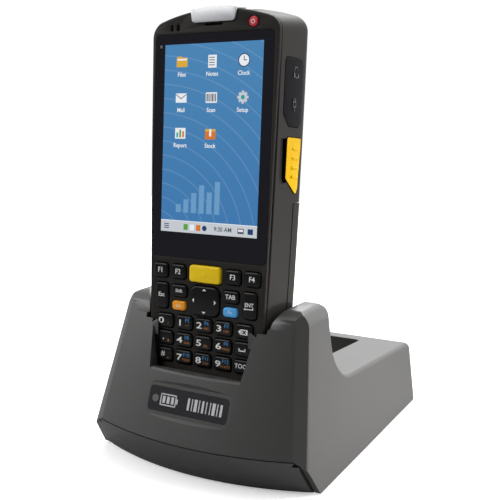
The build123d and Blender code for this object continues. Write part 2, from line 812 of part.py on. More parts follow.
# ---------------------------------------------------------------- terminal form
def terminal_outline(depth, inset=0.0, span=None):
    """Outline of the terminal at a depth behind its face; span keeps only a stretch of its length."""
    grown = min(depth, shoulder_depth) / shoulder_depth
    side = rear_growth * grown - inset
    rise = rear_top_rise * grown - inset
    foot = half_width_foot + side
    waist = half_width_middle + side
    head = half_width_head + side
    shoulder = head_height + rise
    with BuildSketch(face_plane.offset(-depth)) as outline:
        with BuildLine():
            ThreePointArc((-foot, inset), (-waist, middle_height), (-head, shoulder))
            ThreePointArc((-head, shoulder), (0, terminal_length + rise), (head, shoulder))
            ThreePointArc((head, shoulder), (waist, middle_height), (foot, inset))
            Line((foot, inset), (-foot, inset))
        make_face()
        fillet(outline.vertices().group_by(Axis.Y)[-1], head_corner_radius - inset)
        fillet(outline.vertices().group_by(Axis.Y)[0], foot_corner_radius - inset)
        if span:
            with Locations((0, (span[0] + span[1]) / 2)):
                Rectangle(4 * head, span[1] - span[0], mode=Mode.INTERSECT)
    return outline.sketch.face()


def rear_sections(inset):
    """Sections of a hollow with bevelled rear edges, from where the rear rounding starts to the rear wall."""
    return (shoulder_depth, inset), (terminal_thickness - inset, inset + inner_bevel)


def terminal_loft(*sections, span=None, mode=Mode.ADD):
    """The terminal's body through sections that each have a depth and an inset."""
    loft([terminal_outline(depth, inset, span) for depth, inset in sections], ruled=True, mode=mode)


def face_rectangle(u, v, width, height, radius, w=0.0):
    """Rounded rectangle on the terminal's face, or w outward of it."""
    with BuildSketch(face_plane.offset(w)) as shape:
        with Locations((u, v)):
            RectangleRounded(width, height, radius)
    return shape.sketch


def face_circle(u, v, radius, w=0.0):
    with BuildSketch(face_plane.offset(w)) as shape:
        with Locations((u, v)):
            Circle(radius)
    return shape.sketch


def side_rectangle(front, rear, bottom, top, radius, x):
    """Rounded rectangle at a distance x to the side, between two depths and two heights above the seat."""
    with BuildSketch(side_plane.offset(x)) as shape:
        with Locations(((front + rear) / 2, (bottom + top) / 2)):
            RectangleRounded(rear - front, top - bottom, radius)
    return shape.sketch


def port_cover_outline(x, gap):
    """Outline of the port cover, narrowed to a tab at its lower end and shrunk by a gap, at a distance x."""
    with BuildSketch(side_plane.offset(x)) as shape:
        with BuildLine():
            Polyline((port_cover_front, port_cover_top), (port_cover_rear, port_cover_top),
                     (port_cover_rear, port_tab_bottom + port_tab_bevel),
                     (port_cover_rear - port_tab_bevel, port_tab_bottom), (port_tab_front, port_tab_bottom),
                     (port_cover_front, port_cover_bottom), close=True)
        make_face()
        fillet(shape.vertices().group_by(Axis.Y)[-1], port_cover_radius)
        fillet(shape.vertices().group_by(Axis.Y)[0], port_tab_radius)
        if gap:
            offset(amount=-gap)
    return shape.sketch


def trigger_outline(x, growth):
    """Outline of a side trigger at a distance x to the side; it narrows downward to a rounded tip."""
    with BuildSketch(side_plane.offset(x)) as shape:
        with BuildLine():
            Polyline((trigger_front, trigger_top), (trigger_rear_high, trigger_top),
                     (trigger_rear_low, trigger_rear_low_height), (trigger_tip_depth, trigger_tip_height),
                     (trigger_front, trigger_front_height), close=True)
        make_face()
        fillet(shape.vertices(), trigger_corner_radius)
        if growth:
            offset(amount=growth)
    return shape.sketch


rearward = Axis(seat_point, (0, lean_cos, -lean_sin))

shoulder_depth = terminal_thickness - rear_edge_radius - shoulder_margin
trigger_back = half_width_middle - housing_wall - trigger_flange
port_seat = half_width_head - port_cover_thickness
port_inner_wall = half_width_head - housing_wall - fit_gap

# Keys by name: place across, place up the terminal, width, height. All have the same corner radius but the pad.
number_names = (("0", "1", "2", "3", "backspace"), ("dot", "4", "5", "6", "space"), ("hash", "7", "8", "9", "tools"))
keys = {}
for row, names in enumerate(number_names):
    for column, name in enumerate(names):
        keys[name] = (number_pitch * (column - 2), number_top_row - number_row_pitch * row,
                      number_key_width, number_key_height)
for name, u in zip(("f1", "f2", "f3", "f4"), (-function_outer, -function_inner, function_inner, function_outer)):
    keys[name] = (u, function_row, function_key_width, function_key_height)
for name, side in (("escape", -1), ("enter", 1)):
    keys[name] = (side * tall_key_offset, tall_key_row, tall_key_width, tall_key_height)
for name, side in (("shift", -1), ("tab", 1)):
    keys[name] = (side * small_key_offset, upper_small_row, small_key_width, upper_small_height)
for name, side in (("orange", -1), ("blue", 1)):
    keys[name] = (side * small_key_offset, lower_small_row, colour_key_width, colour_key_height)
keys["scan"] = (0, function_row, scan_key_width, scan_key_height)

# Front housing: the plate round the display and the keys, with a bright bevel along its rim.
with BuildPart() as front_housing:
    terminal_loft((0, front_edge_chamfer), (front_edge_chamfer, 0), (front_plate - seam_chamfer, 0),
                  (front_plate, seam_chamfer))
    glass_row = glass_bottom + glass_height / 2
    screen_row = screen_bottom + screen_height / 2
    extrude(face_rectangle(0, glass_row, glass_width + 2 * glass_clearance, glass_height + 2 * glass_clearance,
                           glass_corner_radius), amount=-glass_thickness, mode=Mode.SUBTRACT)
    window_growth = 2 * (panel_border + fit_gap)
    extrude(face_rectangle(0, screen_row, screen_width + window_growth, screen_height + window_growth, panel_border),
            amount=-2 * front_plate, mode=Mode.SUBTRACT)
    for u, v, width, height in keys.values():
        extrude(face_rectangle(u, v, width + 2 * key_gap, height + 2 * key_gap, key_corner_radius + key_gap),
                amount=-2 * front_plate, mode=Mode.SUBTRACT)
    extrude(face_rectangle(0, nav_row, nav_width + 2 * key_gap, nav_height + 2 * key_gap,
                           nav_corner_radius + key_gap), amount=-2 * front_plate, mode=Mode.SUBTRACT)
    extrude(face_circle(power_offset, power_row, power_radius + key_gap), amount=-2 * front_plate,
            mode=Mode.SUBTRACT)
    for u in (-lens_inner, -lens_inner - lens_spacing):
        extrude(face_rectangle(u, lens_row, lens_width + 2 * fit_gap, lens_height + 2 * fit_gap,
                               lens_width / 2), amount=-2 * front_plate, mode=Mode.SUBTRACT)
    extrude(face_rectangle(0, earpiece_row, earpiece_width, earpiece_height, earpiece_height / 2 - fit_gap),
            amount=-earpiece_depth, mode=Mode.SUBTRACT)
save(front_housing, "front_housing")

# Rear housing: a deep tub, stepped in at the lower back for the battery and its cover.
with BuildPart() as rear_housing:
    extrude(terminal_outline(shoulder_depth), amount=shoulder_depth - terminal_thickness)
    fillet(rear_housing.faces().sort_by(rearward)[-1].edges(), rear_edge_radius)
    terminal_loft((front_plate, seam_chamfer), (front_plate + seam_chamfer, 0), (shoulder_depth, 0))
    shelf_depth = cover_front_depth - housing_wall
    head_span = (cover_top + housing_wall, 2 * terminal_length)
    terminal_loft((front_plate, housing_wall), (shelf_depth, housing_wall), mode=Mode.SUBTRACT)
    terminal_loft((shelf_depth, housing_wall), *rear_sections(housing_wall), span=head_span, mode=Mode.SUBTRACT)
    cover_room = (cover_bottom - cover_gap, cover_top + cover_gap)
    extrude(terminal_outline(cover_front_depth - cover_gap, -2 * cover_proud, cover_room),
            amount=-terminal_thickness, mode=Mode.SUBTRACT)

    # contact recess in the foot, window ledge in the head
    with BuildSketch(seat_plane(0)) as contact_recess:
        with Locations((0, contact_depth)):
            Rectangle(contact_block_width + 2 * fit_gap, contact_block_depth + 2 * fit_gap)
    extrude(contact_recess.sketch, amount=contact_rise + pin_gap, mode=Mode.SUBTRACT)
    extrude(contact_circles(0, contact_pad_radius + pin_gap), amount=contact_rise + contact_pad_thickness,
            mode=Mode.SUBTRACT)
    window_place = engine_front + engine_depth / 2
    with BuildSketch(seat_plane(window_row)) as window_seat:
        with Locations((0, window_place)):
            RectangleRounded(window_width + 2 * fit_gap, window_depth + 2 * fit_gap, window_corner_radius)
    extrude(window_seat.sketch, amount=terminal_length, mode=Mode.SUBTRACT)
    with BuildSketch(seat_plane(window_row)) as window_hole:
        with Locations((0, window_place)):
            RectangleRounded(window_width - 2 * window_ledge, window_depth - 2 * window_ledge,
                             window_corner_radius - window_ledge)
    extrude(window_hole.sketch, amount=-3 * housing_wall, mode=Mode.SUBTRACT)

    # relief for the flange of the power button
    extrude(face_circle(power_offset, power_row, power_radius + key_flange + cover_gap, -front_plate),
            amount=-front_plate, mode=Mode.SUBTRACT)

    # a trigger hole and a finger scoop in each side
    for side in (-1, 1):
        extrude(trigger_outline(side * trigger_back, trigger_gap), amount=side * half_width_head, mode=Mode.SUBTRACT)
        extrude(side_rectangle(scoop_front, trigger_front + scoop_radius, scoop_bottom, scoop_top, scoop_radius,
                               side * (half_width_middle + trigger_proud - scoop_cut)),
                amount=side * half_width_head, mode=Mode.SUBTRACT)

    # seat of the port cover with the holes of its two sockets
    extrude(port_cover_outline(port_seat, 0), amount=half_width_head, mode=Mode.SUBTRACT)
    with BuildSketch(side_plane.offset(port_seat)) as socket_holes:
        with Locations((port_axis_depth, headset_height)):
            Circle(headset_radius + fit_gap)
        with Locations((port_axis_depth, service_height)):
            Rectangle(service_width + 2 * (service_shell + fit_gap), service_length + 2 * (service_shell + fit_gap))
    extrude(socket_holes.sketch, amount=-2 * housing_wall, mode=Mode.SUBTRACT)

    # recess and slot of the battery latch
    latch_row = latch_bottom + latch_margin + latch_height / 2
    extrude(face_rectangle(0, latch_row + latch_travel / 2, latch_width + 2 * latch_margin,
                           latch_height + latch_travel + 2 * latch_margin, latch_corner_radius,
                           -terminal_thickness + latch_recess),
            amount=-terminal_thickness, mode=Mode.SUBTRACT)
    extrude(face_rectangle(0, latch_row + latch_travel / 2, latch_stem_width + 2 * fit_gap,
                           latch_stem_height + latch_travel + 2 * fit_gap, latch_stem_radius,
                           -terminal_thickness + latch_recess),
            amount=2 * housing_wall, mode=Mode.SUBTRACT)
save(rear_housing, "rear_housing")

# Display: cover glass in its recess, and the panel behind it in the front housing's window.
with BuildPart() as display_glass:
    extrude(face_rectangle(0, glass_row, glass_width, glass_height, glass_corner_radius), amount=-glass_thickness)
save(display_glass, "display_glass")

with BuildPart() as display_panel:
    extrude(face_rectangle(0, screen_row, screen_width + 2 * panel_border, screen_height + 2 * panel_border,
                           panel_border, -glass_thickness - panel_gap), amount=-panel_thickness)
save(display_panel, "display_panel")

# Metal badge that caps the middle of the top edge.
with BuildPart() as top_badge:
    with BuildSketch(face_plane.offset(top_badge_proud)) as badge_front:
        high = terminal_length + rear_top_rise
        with BuildLine():
            Polyline((-top_badge_low_half, top_badge_bottom), (top_badge_low_half, top_badge_bottom),
                     (top_badge_high_half, high), (-top_badge_high_half, high), close=True)
        make_face()
    extrude(badge_front.sketch, amount=-top_badge_proud - top_badge_reach)
    terminal_loft((-top_badge_proud, -top_badge_proud), (shoulder_depth, -top_badge_proud), mode=Mode.INTERSECT)
    terminal_loft((0, front_edge_chamfer), (front_edge_chamfer, 0), (shoulder_depth, 0), mode=Mode.SUBTRACT)
save(top_badge, "top_badge")

with BuildPart() as front_lenses:
    for u in (-lens_inner, -lens_inner - lens_spacing):
        extrude(face_rectangle(u, lens_row, lens_width, lens_height, lens_width / 2 - fit_gap), amount=-front_plate)
save(front_lenses, "front_lenses")

# Layers behind the keys: rubber contact mat and main board.
with BuildPart() as keypad_mat:
    mat_row = (mat_bottom + mat_top) / 2
    extrude(face_rectangle(0, mat_row, 2 * mat_half_width, mat_top - mat_bottom, mat_corner_radius, -mat_front),
            amount=mat_front - board_front)
save(keypad_mat, "keypad_mat")

with BuildPart() as main_board:
    board_row = (terminal_board_bottom + terminal_board_top) / 2
    extrude(face_rectangle(0, board_row, 2 * terminal_board_half, terminal_board_top - terminal_board_bottom,
                           terminal_board_corner_radius, -board_front), amount=-terminal_board_thickness)
save(main_board, "main_board")

# Scan engine with a lens barrel that looks out through the window in the head.
with BuildPart() as scan_engine:
    engine_top = window_row - fit_gap
    with BuildSketch(seat_plane(engine_top)) as block:
        with Locations((0, window_place)):
            Rectangle(engine_nose_width, engine_nose_depth)
    extrude(block.sketch, amount=-engine_height)
    with BuildSketch(seat_plane(engine_top - engine_barrel)) as body:
        with Locations((0, window_place)):
            Rectangle(engine_width, engine_depth)
    extrude(body.sketch, amount=engine_barrel - engine_height)
    with BuildSketch(seat_plane(engine_top)) as lens_bore:
        with Locations((-engine_lens_offset, window_place)):
            Circle(engine_lens_radius)
        with Locations((engine_lens_offset, window_place)):
            Rectangle(engine_lens_offset, engine_lens_radius)
    extrude(lens_bore.sketch, amount=-engine_barrel, mode=Mode.SUBTRACT)
save(scan_engine, "scan_engine")

with BuildPart() as scan_window:
    with BuildSketch(seat_plane(window_row)) as pane:
        with Locations((0, window_place)):
            RectangleRounded(window_width, window_depth, window_corner_radius)
    extrude(pane.sketch, amount=window_thickness)
save(scan_window, "scan_window")

# Sockets behind the port cover.
with BuildPart() as headset_jack:
    with BuildSketch(side_plane.offset(port_seat - jack_sink)) as nose:
        with Locations((port_axis_depth, headset_height)):
            Circle(headset_radius)
    extrude(nose.sketch, amount=-headset_length)
    with BuildSketch(side_plane.offset(port_inner_wall)) as barrel:
        with Locations((port_axis_depth, headset_height)):
            Circle(headset_body_radius)
    extrude(barrel.sketch, amount=-headset_length + housing_wall)
    with BuildSketch(side_plane.offset(port_seat)) as bore:
        with Locations((port_axis_depth, headset_height)):
            Circle(headset_bore_radius)
    extrude(bore.sketch, amount=-headset_length + housing_wall, mode=Mode.SUBTRACT)
save(headset_jack, "headset_jack")

with BuildPart() as service_port:
    with BuildSketch(side_plane.offset(port_seat - jack_sink)) as shell:
        with Locations((port_axis_depth, service_height)):
            Rectangle(service_width + 2 * service_shell, service_length + 2 * service_shell)
    extrude(shell.sketch, amount=-service_depth)
    with BuildSketch(side_plane.offset(port_seat)) as mouth:
        with Locations((port_axis_depth, service_height)):
            Rectangle(service_width, service_length)
            Rectangle(service_width / 4, service_length - 2 * service_tongue_margin, mode=Mode.SUBTRACT)
    extrude(mouth.sketch, amount=service_shell - service_depth, mode=Mode.SUBTRACT)
save(service_port, "service_port")

with BuildPart() as charging_pads:
    extrude(contact_circles(contact_rise + pin_gap, contact_pad_radius), amount=contact_pad_thickness - pin_gap)
save(charging_pads, "charging_pads")

# Battery pack on the step of the rear housing, its wrap-round cover and the latch above it.
with BuildPart() as battery_pack:
    pack_front = cover_front_depth + fit_gap
    pack_bottom = cover_bottom + battery_inset
    pack_row = (pack_bottom + cover_top - battery_inset) / 2
    extrude(face_rectangle(0, pack_row, 2 * battery_half_width, cover_top - battery_inset - pack_bottom,
                           battery_corner_radius, -pack_front), amount=-battery_depth)
save(battery_pack, "battery_pack")

with BuildPart() as battery_cover:
    cover_span = (cover_bottom, cover_top)
    inner_span = (cover_bottom + cover_wall, cover_top - cover_wall)
    extrude(terminal_outline(shoulder_depth, -cover_proud, cover_span),
            amount=shoulder_depth - terminal_thickness - cover_proud)
    rear_edges = battery_cover.faces().sort_by(rearward)[-1].edges()
    long_edges = rear_edges.filter_by(lambda edge: edge.length > cover_top / 2)
    fillet(long_edges.filter_by(lambda edge: abs(edge.center().X) > half_width_foot / 2), rear_edge_radius)
    terminal_loft((cover_front_depth, -cover_proud), (shoulder_depth, -cover_proud), span=cover_span)
    terminal_loft((cover_front_depth, cover_wall), *rear_sections(cover_wall), span=inner_span, mode=Mode.SUBTRACT)
save(battery_cover, "battery_cover")

with BuildPart() as battery_latch:
    slider_floor = -terminal_thickness + latch_recess - pin_gap
    extrude(face_rectangle(0, latch_row, latch_width, latch_height, latch_corner_radius, slider_floor),
            amount=-latch_thickness)
    extrude(face_rectangle(0, latch_row, latch_stem_width, latch_stem_height, latch_stem_radius, slider_floor),
            amount=housing_wall - latch_recess + 3 * pin_gap)
    keeper_face = -terminal_thickness + housing_wall + pin_gap
    extrude(face_rectangle(0, latch_row, latch_keeper_width, latch_stem_height, latch_stem_radius, keeper_face),
            amount=latch_keeper_thickness)
save(battery_latch, "battery_latch")

# Rubber cover over the two sockets, held by a tab at its lower end.
with BuildPart() as port_cover:
    extrude(port_cover_outline(port_seat + pin_gap, port_cover_gap), amount=half_width_head)
    terminal_loft((0, -port_cover_proud), (shoulder_depth, -port_cover_proud), mode=Mode.INTERSECT)
    with BuildSketch(side_plane.offset(port_seat + pin_gap)) as plugs:
        with Locations((port_axis_depth, headset_height)):
            Circle(headset_bore_radius - plug_gap)
        with Locations((port_axis_depth, service_height)):
            Rectangle(service_width - 2 * plug_gap, service_length - 4 * plug_gap)
            Rectangle(service_width / 2, service_length, mode=Mode.SUBTRACT)
    extrude(plugs.sketch, amount=-plug_length)
save(port_cover, "port_cover")


def build_trigger(side, name):
    """Side trigger that is pressed inward; short ribs lie across its face and a flange keeps it in the housing."""
    with BuildPart() as trigger:
        extrude(trigger_outline(side * trigger_back, 0), amount=side * half_width_head)
        terminal_loft((0, -trigger_proud), (shoulder_depth, -trigger_proud), mode=Mode.INTERSECT)
        ribs_start = side * (half_width_middle + trigger_proud)
        with BuildSketch(side_plane.offset(ribs_start)) as ribs:
            with Locations((trigger_rib_depth, trigger_rib_row)):
                with GridLocations(1, trigger_rib_pitch, 1, trigger_rib_count):
                    RectangleRounded(trigger_rib_length, trigger_rib_width, trigger_rib_width / 2 - pin_gap)
        extrude(ribs.sketch, amount=side * trigger_rib_proud)
        extrude(trigger_outline(side * trigger_back, -trigger_flange), amount=-side * trigger_flange)
    save(trigger, name)


build_trigger(-1, "left_trigger")
build_trigger(1, "right_trigger")


def build_key(name, u, v, width, height, radius=key_corner_radius, proud=key_proud, root=key_root):
    """Key cap with a softened rim; its flange lies behind the front plate and keeps it in."""
    with BuildPart() as key:
        back = -front_plate - root
        extrude(face_rectangle(u, v, width, height, radius, back), amount=-back + proud)
        chamfer(key.faces().sort_by(rearward)[0].edges(), key_edge_bevel)
        extrude(face_rectangle(u, v, width + 2 * key_flange, height + 2 * key_flange, radius + key_flange, back),
                amount=-key_flange_thickness)
    save(key, name)


for name, (u, v, width, height) in keys.items():
    build_key(f"key_{name}", u, v, width, height, proud=scan_key_proud if name == "scan" else key_proud)
build_key("nav_pad", 0, nav_row, nav_width, nav_height, nav_corner_radius, root=nav_rock_gap)

# Post under the middle of the navigation pad, on which the pad rocks.
with BuildPart() as nav_post:
    post_top = -front_plate - nav_rock_gap - key_flange_thickness - nav_post_gap
    extrude(face_circle(0, nav_row, nav_post_radius, post_top), amount=-mat_front - post_top + nav_post_gap)
save(nav_post, "nav_post")

with BuildPart() as power_button:
    button_back = -front_plate - key_root
    extrude(face_circle(power_offset, power_row, power_radius, button_back), amount=-button_back + power_proud)
    chamfer(power_button.faces().sort_by(rearward)[0].edges(), key_edge_bevel)
    extrude(face_circle(power_offset, power_row, power_radius + key_flange, button_back),
            amount=-key_flange_thickness)
save(power_button, "power_button")
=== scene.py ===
import bmesh
import bpy
from math import cos, pi, radians, sin
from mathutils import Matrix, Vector


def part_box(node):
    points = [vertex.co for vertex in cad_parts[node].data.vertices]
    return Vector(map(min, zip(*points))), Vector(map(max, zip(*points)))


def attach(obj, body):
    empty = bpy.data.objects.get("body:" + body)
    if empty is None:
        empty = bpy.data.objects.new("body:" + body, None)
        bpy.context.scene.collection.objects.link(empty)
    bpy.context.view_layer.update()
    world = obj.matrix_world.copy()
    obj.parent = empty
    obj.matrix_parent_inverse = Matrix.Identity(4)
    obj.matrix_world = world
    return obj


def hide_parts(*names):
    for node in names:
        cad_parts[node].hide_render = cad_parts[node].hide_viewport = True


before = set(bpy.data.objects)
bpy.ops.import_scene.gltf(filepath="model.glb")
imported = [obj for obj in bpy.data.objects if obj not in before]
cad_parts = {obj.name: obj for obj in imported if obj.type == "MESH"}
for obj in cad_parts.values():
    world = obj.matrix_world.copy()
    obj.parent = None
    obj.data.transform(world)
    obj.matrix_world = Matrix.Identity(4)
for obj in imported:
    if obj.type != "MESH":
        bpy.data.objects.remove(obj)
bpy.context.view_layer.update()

# ---------------------------------------------------------------- studio
# A product table: a pale sheet under the terminal and its cradle and a plain white backdrop. The
# room's light comes mostly from behind and above, so the front stays dim. Soft boxes stand at the
# right, low at the right, at the rear, the left and the front. The lens is a short telephoto.
mm = 0.001


def add_node(tree, kind, settings=(), links=()):
    """Adds one node, sets its attributes or sockets, and links sockets into it."""
    node = tree.nodes.new(kind)
    for name, value in dict(settings).items():
        if isinstance(name, str) and hasattr(node, name):
            setattr(node, name, value)
        else:
            node.inputs[name].default_value = value
    for name, socket in dict(links).items():
        tree.links.new(socket, node.inputs[name])
    return node


bright_side = (-0.15, 0.86, 0.48)
dim_room, bright_room, white_backdrop = 0.06, 1.5, 1.02
scene = bpy.context.scene
scene.view_settings.view_transform = "Standard"
surround = bpy.data.worlds.new("white surround")
surround.use_nodes = True
scene.world = surround
sky = surround.node_tree
direction = add_node(sky, "ShaderNodeTexCoord").outputs["Generated"]
toward = add_node(sky, "ShaderNodeVectorMath", {"operation": "DOT_PRODUCT", 1: bright_side},
                  {0: direction})
brightness = add_node(sky, "ShaderNodeMapRange", {"From Min": -0.2, "From Max": 0.9,
                                                  "To Min": dim_room, "To Max": bright_room},
                      {"Value": toward.outputs["Value"]})
seen = add_node(sky, "ShaderNodeLightPath").outputs["Is Camera Ray"]
backdrop = add_node(sky, "ShaderNodeMix", {"data_type": "FLOAT", 3: white_backdrop},
                    {0: seen, 2: brightness.outputs["Result"]})
sky.links.new(backdrop.outputs[0], sky.nodes["Background"].inputs["Strength"])
sky.nodes["Background"].inputs["Color"].default_value = (1, 1, 1, 1)

sheet_size, sheet_back, sheet_drop = 1.3, 0.15, 0.1 * mm
bpy.ops.object.select_all(action="DESELECT")
bpy.ops.mesh.primitive_plane_add(size=sheet_size, location=(0, sheet_back, -sheet_drop))
table = bpy.context.object
table.name = "table_sheet"

# White laminate is softly matt, so it holds a faint shadow. It glows to near white where it is
# seen and throws little light back on the cradle. It is clear from below, to look at the underside.
paper = bpy.data.materials.new("white laminate sheet")
paper.use_nodes = True
sheet_tree = paper.node_tree
paper_place = add_node(sheet_tree, "ShaderNodeTexCoord").outputs["Object"]
paper_fibre = add_node(sheet_tree, "ShaderNodeTexNoise", {"Scale": 40.0}, {"Vector": paper_place})
paper_tone = add_node(sheet_tree, "ShaderNodeMapRange", {"To Min": 0.90, "To Max": 0.92},
                      {"Value": paper_fibre.outputs["Fac"]})
paper_seen = add_node(sheet_tree, "ShaderNodeLightPath").outputs["Is Camera Ray"]
paper_bounce = add_node(sheet_tree, "ShaderNodeMix", {"data_type": "FLOAT", 2: 0.35},
                        {0: paper_seen, 3: paper_tone.outputs["Result"]})
paper_glow = add_node(sheet_tree, "ShaderNodeMapRange", {"To Min": 0.0, "To Max": 0.42},
                      {"Value": paper_seen})
paper_back = add_node(sheet_tree, "ShaderNodeNewGeometry").outputs["Backfacing"]
paper_cover = add_node(sheet_tree, "ShaderNodeMapRange", {"To Min": 1.0, "To Max": 0.0},
                       {"Value": paper_back})
paper_surface = sheet_tree.nodes["Principled BSDF"]
sheet_tree.links.new(paper_cover.outputs["Result"], paper_surface.inputs["Alpha"])
sheet_tree.links.new(paper_bounce.outputs[0], paper_surface.inputs["Base Color"])
sheet_tree.links.new(paper_glow.outputs["Result"], paper_surface.inputs["Emission Strength"])
paper_surface.inputs["Roughness"].default_value = 0.7
paper_surface.inputs["Emission Color"].default_value = (1, 1, 1, 1)
table.data.materials.append(paper)


def soft_box(name, place, aim, size, power, spread=180):
    """A square soft light at a place, turned to what it lights, its beam's spread in degrees."""
    lamp = bpy.data.lights.new(name, "AREA")
    lamp.size = size
    lamp.energy = power
    lamp.spread = radians(spread)
    holder = bpy.data.objects.new(name, lamp)
    scene.collection.objects.link(holder)
    holder.location = place
    holder.rotation_euler = (Vector(aim) - Vector(place)).to_track_quat("-Z", "Y").to_euler()
    holder.visible_glossy = spread == 180  # a narrow beam isn't mirrored as a bright spot


soft_box("right_soft_box", (0.78, 0.22, 0.45), (0, 0, 0.06), 0.5, 4.4)
soft_box("low_right_soft_box", (0.48, 0.30, 0.06), (0.05, 0.0, 0.0), 0.10, 0.20, 26)
soft_box("rear_soft_box", (-0.1, 0.7, 0.8), (0, 0, 0.05), 0.6, 6.6)
soft_box("left_soft_box", (-0.85, -0.30, 0.50), (0, 0, 0.08), 0.5, 2.6)
soft_box("front_soft_box", (-0.50, -0.80, 0.80), (0, 0, 0.10), 0.4, 4.5)

camera_place, camera_drop, camera_turn = (152.34, -286.88, 132.63), 9.62, 29.02
eye = bpy.data.cameras.new("viewing_camera")
eye.lens = 56.03
eye.sensor_width = 36.0
viewer = bpy.data.objects.new("viewing_camera", eye)
scene.collection.objects.link(viewer)
viewer.location = [value * mm for value in camera_place]
viewer.rotation_euler = (radians(90 - camera_drop), 0, radians(camera_turn))
scene.camera = viewer

# ---------------------------------------------------------------- cradle shell and base
# Two injection-moulded shells of charcoal ABS from a spark-eroded mould, screwed together from
# below. The two upright corners at the front are cut back to a flat facet with rounded edges.


def linear(code):
    """A hex colour in linear light."""
    parts = [int(code[i:i + 2], 16) / 255 for i in (0, 2, 4)]
    return (*[p / 12.92 if p <= 0.04045 else ((p + 0.055) / 1.055) ** 2.4 for p in parts], 1.0)


def moulded(name, shade, deeper, roughness, grain, depth, coat=0.0, shine=0.5):
    """Moulded plastic, rubber or ink in two near shades, with a grain of a size and depth in mm.

    A real mould's grain is finer than this, about 0.1 mm. It is drawn coarser so that it shows.
    """
    cloud_scale = 55.0  # clouds of the second shade, about 18 mm wide
    material = bpy.data.materials.new(name)
    material.use_nodes = True
    tree = material.node_tree
    surface = tree.nodes["Principled BSDF"]
    place = add_node(tree, "ShaderNodeTexCoord").outputs["Object"]
    clouds = add_node(tree, "ShaderNodeTexNoise", {"Scale": cloud_scale, "Detail": 3.0},
                      {"Vector": place})
    grains = add_node(tree, "ShaderNodeTexNoise", {"Scale": 1 / (grain * mm), "Detail": 2.0},
                      {"Vector": place})
    tone = add_node(tree, "ShaderNodeMix",
                    {"data_type": "RGBA", 6: linear(shade), 7: linear(deeper)},
                    {0: clouds.outputs["Fac"]})
    polish = add_node(tree, "ShaderNodeMapRange",
                      {"To Min": roughness - 0.04, "To Max": roughness + 0.04},
                      {"Value": grains.outputs["Fac"]})
    relief = add_node(tree, "ShaderNodeBump", {"Strength": 1.0, "Distance": depth * mm},
                      {"Height": grains.outputs["Fac"]})
    tree.links.new(tone.outputs[2], surface.inputs["Base Color"])
    tree.links.new(polish.outputs["Result"], surface.inputs["Roughness"])
    tree.links.new(relief.outputs["Normal"], surface.inputs["Normal"])
    surface.inputs["Specular IOR Level"].default_value = shine
    surface.inputs["Coat Weight"].default_value = coat
    surface.inputs["Coat Roughness"].default_value = 0.08
    return material


def finish_node(material, *nodes):
    """Gives CAD nodes a finish."""
    for name in nodes:
        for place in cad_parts[name].material_slots:
            place.material = material


def pick(piece, test, kind="FACE"):
    """In edit mode, selects the faces or edges that pass a test."""
    bpy.ops.mesh.select_mode(type=kind)
    bpy.ops.mesh.select_all(action="DESELECT")
    shape = bmesh.from_edit_mesh(piece.data)
    for item in shape.faces if kind == "FACE" else shape.edges:
        if test(item):
            item.select_set(True)
    bmesh.update_edit_mesh(piece.data)


def paint(piece, material):
    """Gives a new piece one finish."""
    piece.data.materials.clear()
    piece.data.materials.append(material)
    return piece


def stand_in(node):
    """A merged copy of a CAD node, with its flat faces whole, to work on in place of the node."""
    bpy.ops.object.select_all(action="DESELECT")
    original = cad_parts[node]
    original.select_set(True)
    bpy.context.view_layer.objects.active = original
    bpy.ops.object.duplicate()
    piece = bpy.context.object
    piece.name = f"{node}_moulding"
    for key in [key for key in piece.keys() if key.startswith("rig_")]:
        del piece[key]
    piece.parent = None
    bpy.ops.mesh.customdata_custom_splitnormals_clear()
    bpy.ops.object.mode_set(mode="EDIT")
    bpy.ops.mesh.select_all(action="SELECT")
    bpy.ops.mesh.remove_doubles(threshold=0.002 * mm)
    bpy.ops.mesh.dissolve_limited(angle_limit=radians(1.0))
    bpy.ops.object.mode_set(mode="OBJECT")
    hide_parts(node)
    return piece


# Spark-eroded ABS scatters light, so the lit faces go soft grey instead of shiny.
charcoal_abs = moulded("spark-eroded charcoal ABS", "3d3c3b", "373635", 0.42, 0.8, 0.030, shine=0.9)
shell = paint(stand_in("cradle_housing"), charcoal_abs)

# The corner's upright edge runs from its foot to its top. The facet is turned from the front
# towards the side, and lies inside that edge by its depth. Only its long edges are rounded.
corner_foot, corner_top = Vector((46.9, -56.8, 13.4)) * mm, Vector((40.2, -42.7, 58.8)) * mm
facet_turn, facet_depth, corner_round, long_edge = radians(37.4), 1.15, 0.8, 15
along_facet = Vector((-cos(facet_turn), -sin(facet_turn), 0))
facet_out = (corner_top - corner_foot).cross(along_facet).normalized()
smooth_angle = radians(32)
bpy.ops.object.mode_set(mode="EDIT")
for side in (-1, 1):
    outward = Vector((side * facet_out.x, facet_out.y, facet_out.z))
    foot = Vector((side * corner_foot.x, corner_foot.y, corner_foot.z)) - outward * facet_depth * mm
    bpy.ops.mesh.select_all(action="SELECT")
    bpy.ops.mesh.bisect(plane_co=foot, plane_no=outward, use_fill=True, clear_outer=True)
    pick(shell, lambda edge: edge.calc_length() > long_edge * mm
         and max(face.normal.dot(outward) for face in edge.link_faces) > 0.999, "EDGE")
    bpy.ops.mesh.bevel(offset=corner_round * mm, segments=4, affect="EDGES")
bpy.ops.object.mode_set(mode="OBJECT")
bpy.ops.object.shade_smooth_by_angle(angle=smooth_angle)
even = shell.modifiers.new("flat faces stay flat", "WEIGHTED_NORMAL")
even.keep_sharp = True
bpy.ops.object.modifier_apply(modifier=even.name)
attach(shell, "cradle")
finish_node(charcoal_abs, "cradle_base")

# ---------------------------------------------------------------- feet and base screws
# Four moulded nitrile rubber feet pressed into recesses in the base, and the four zinc-plated
# steel screws beside them that hold the two shells together.

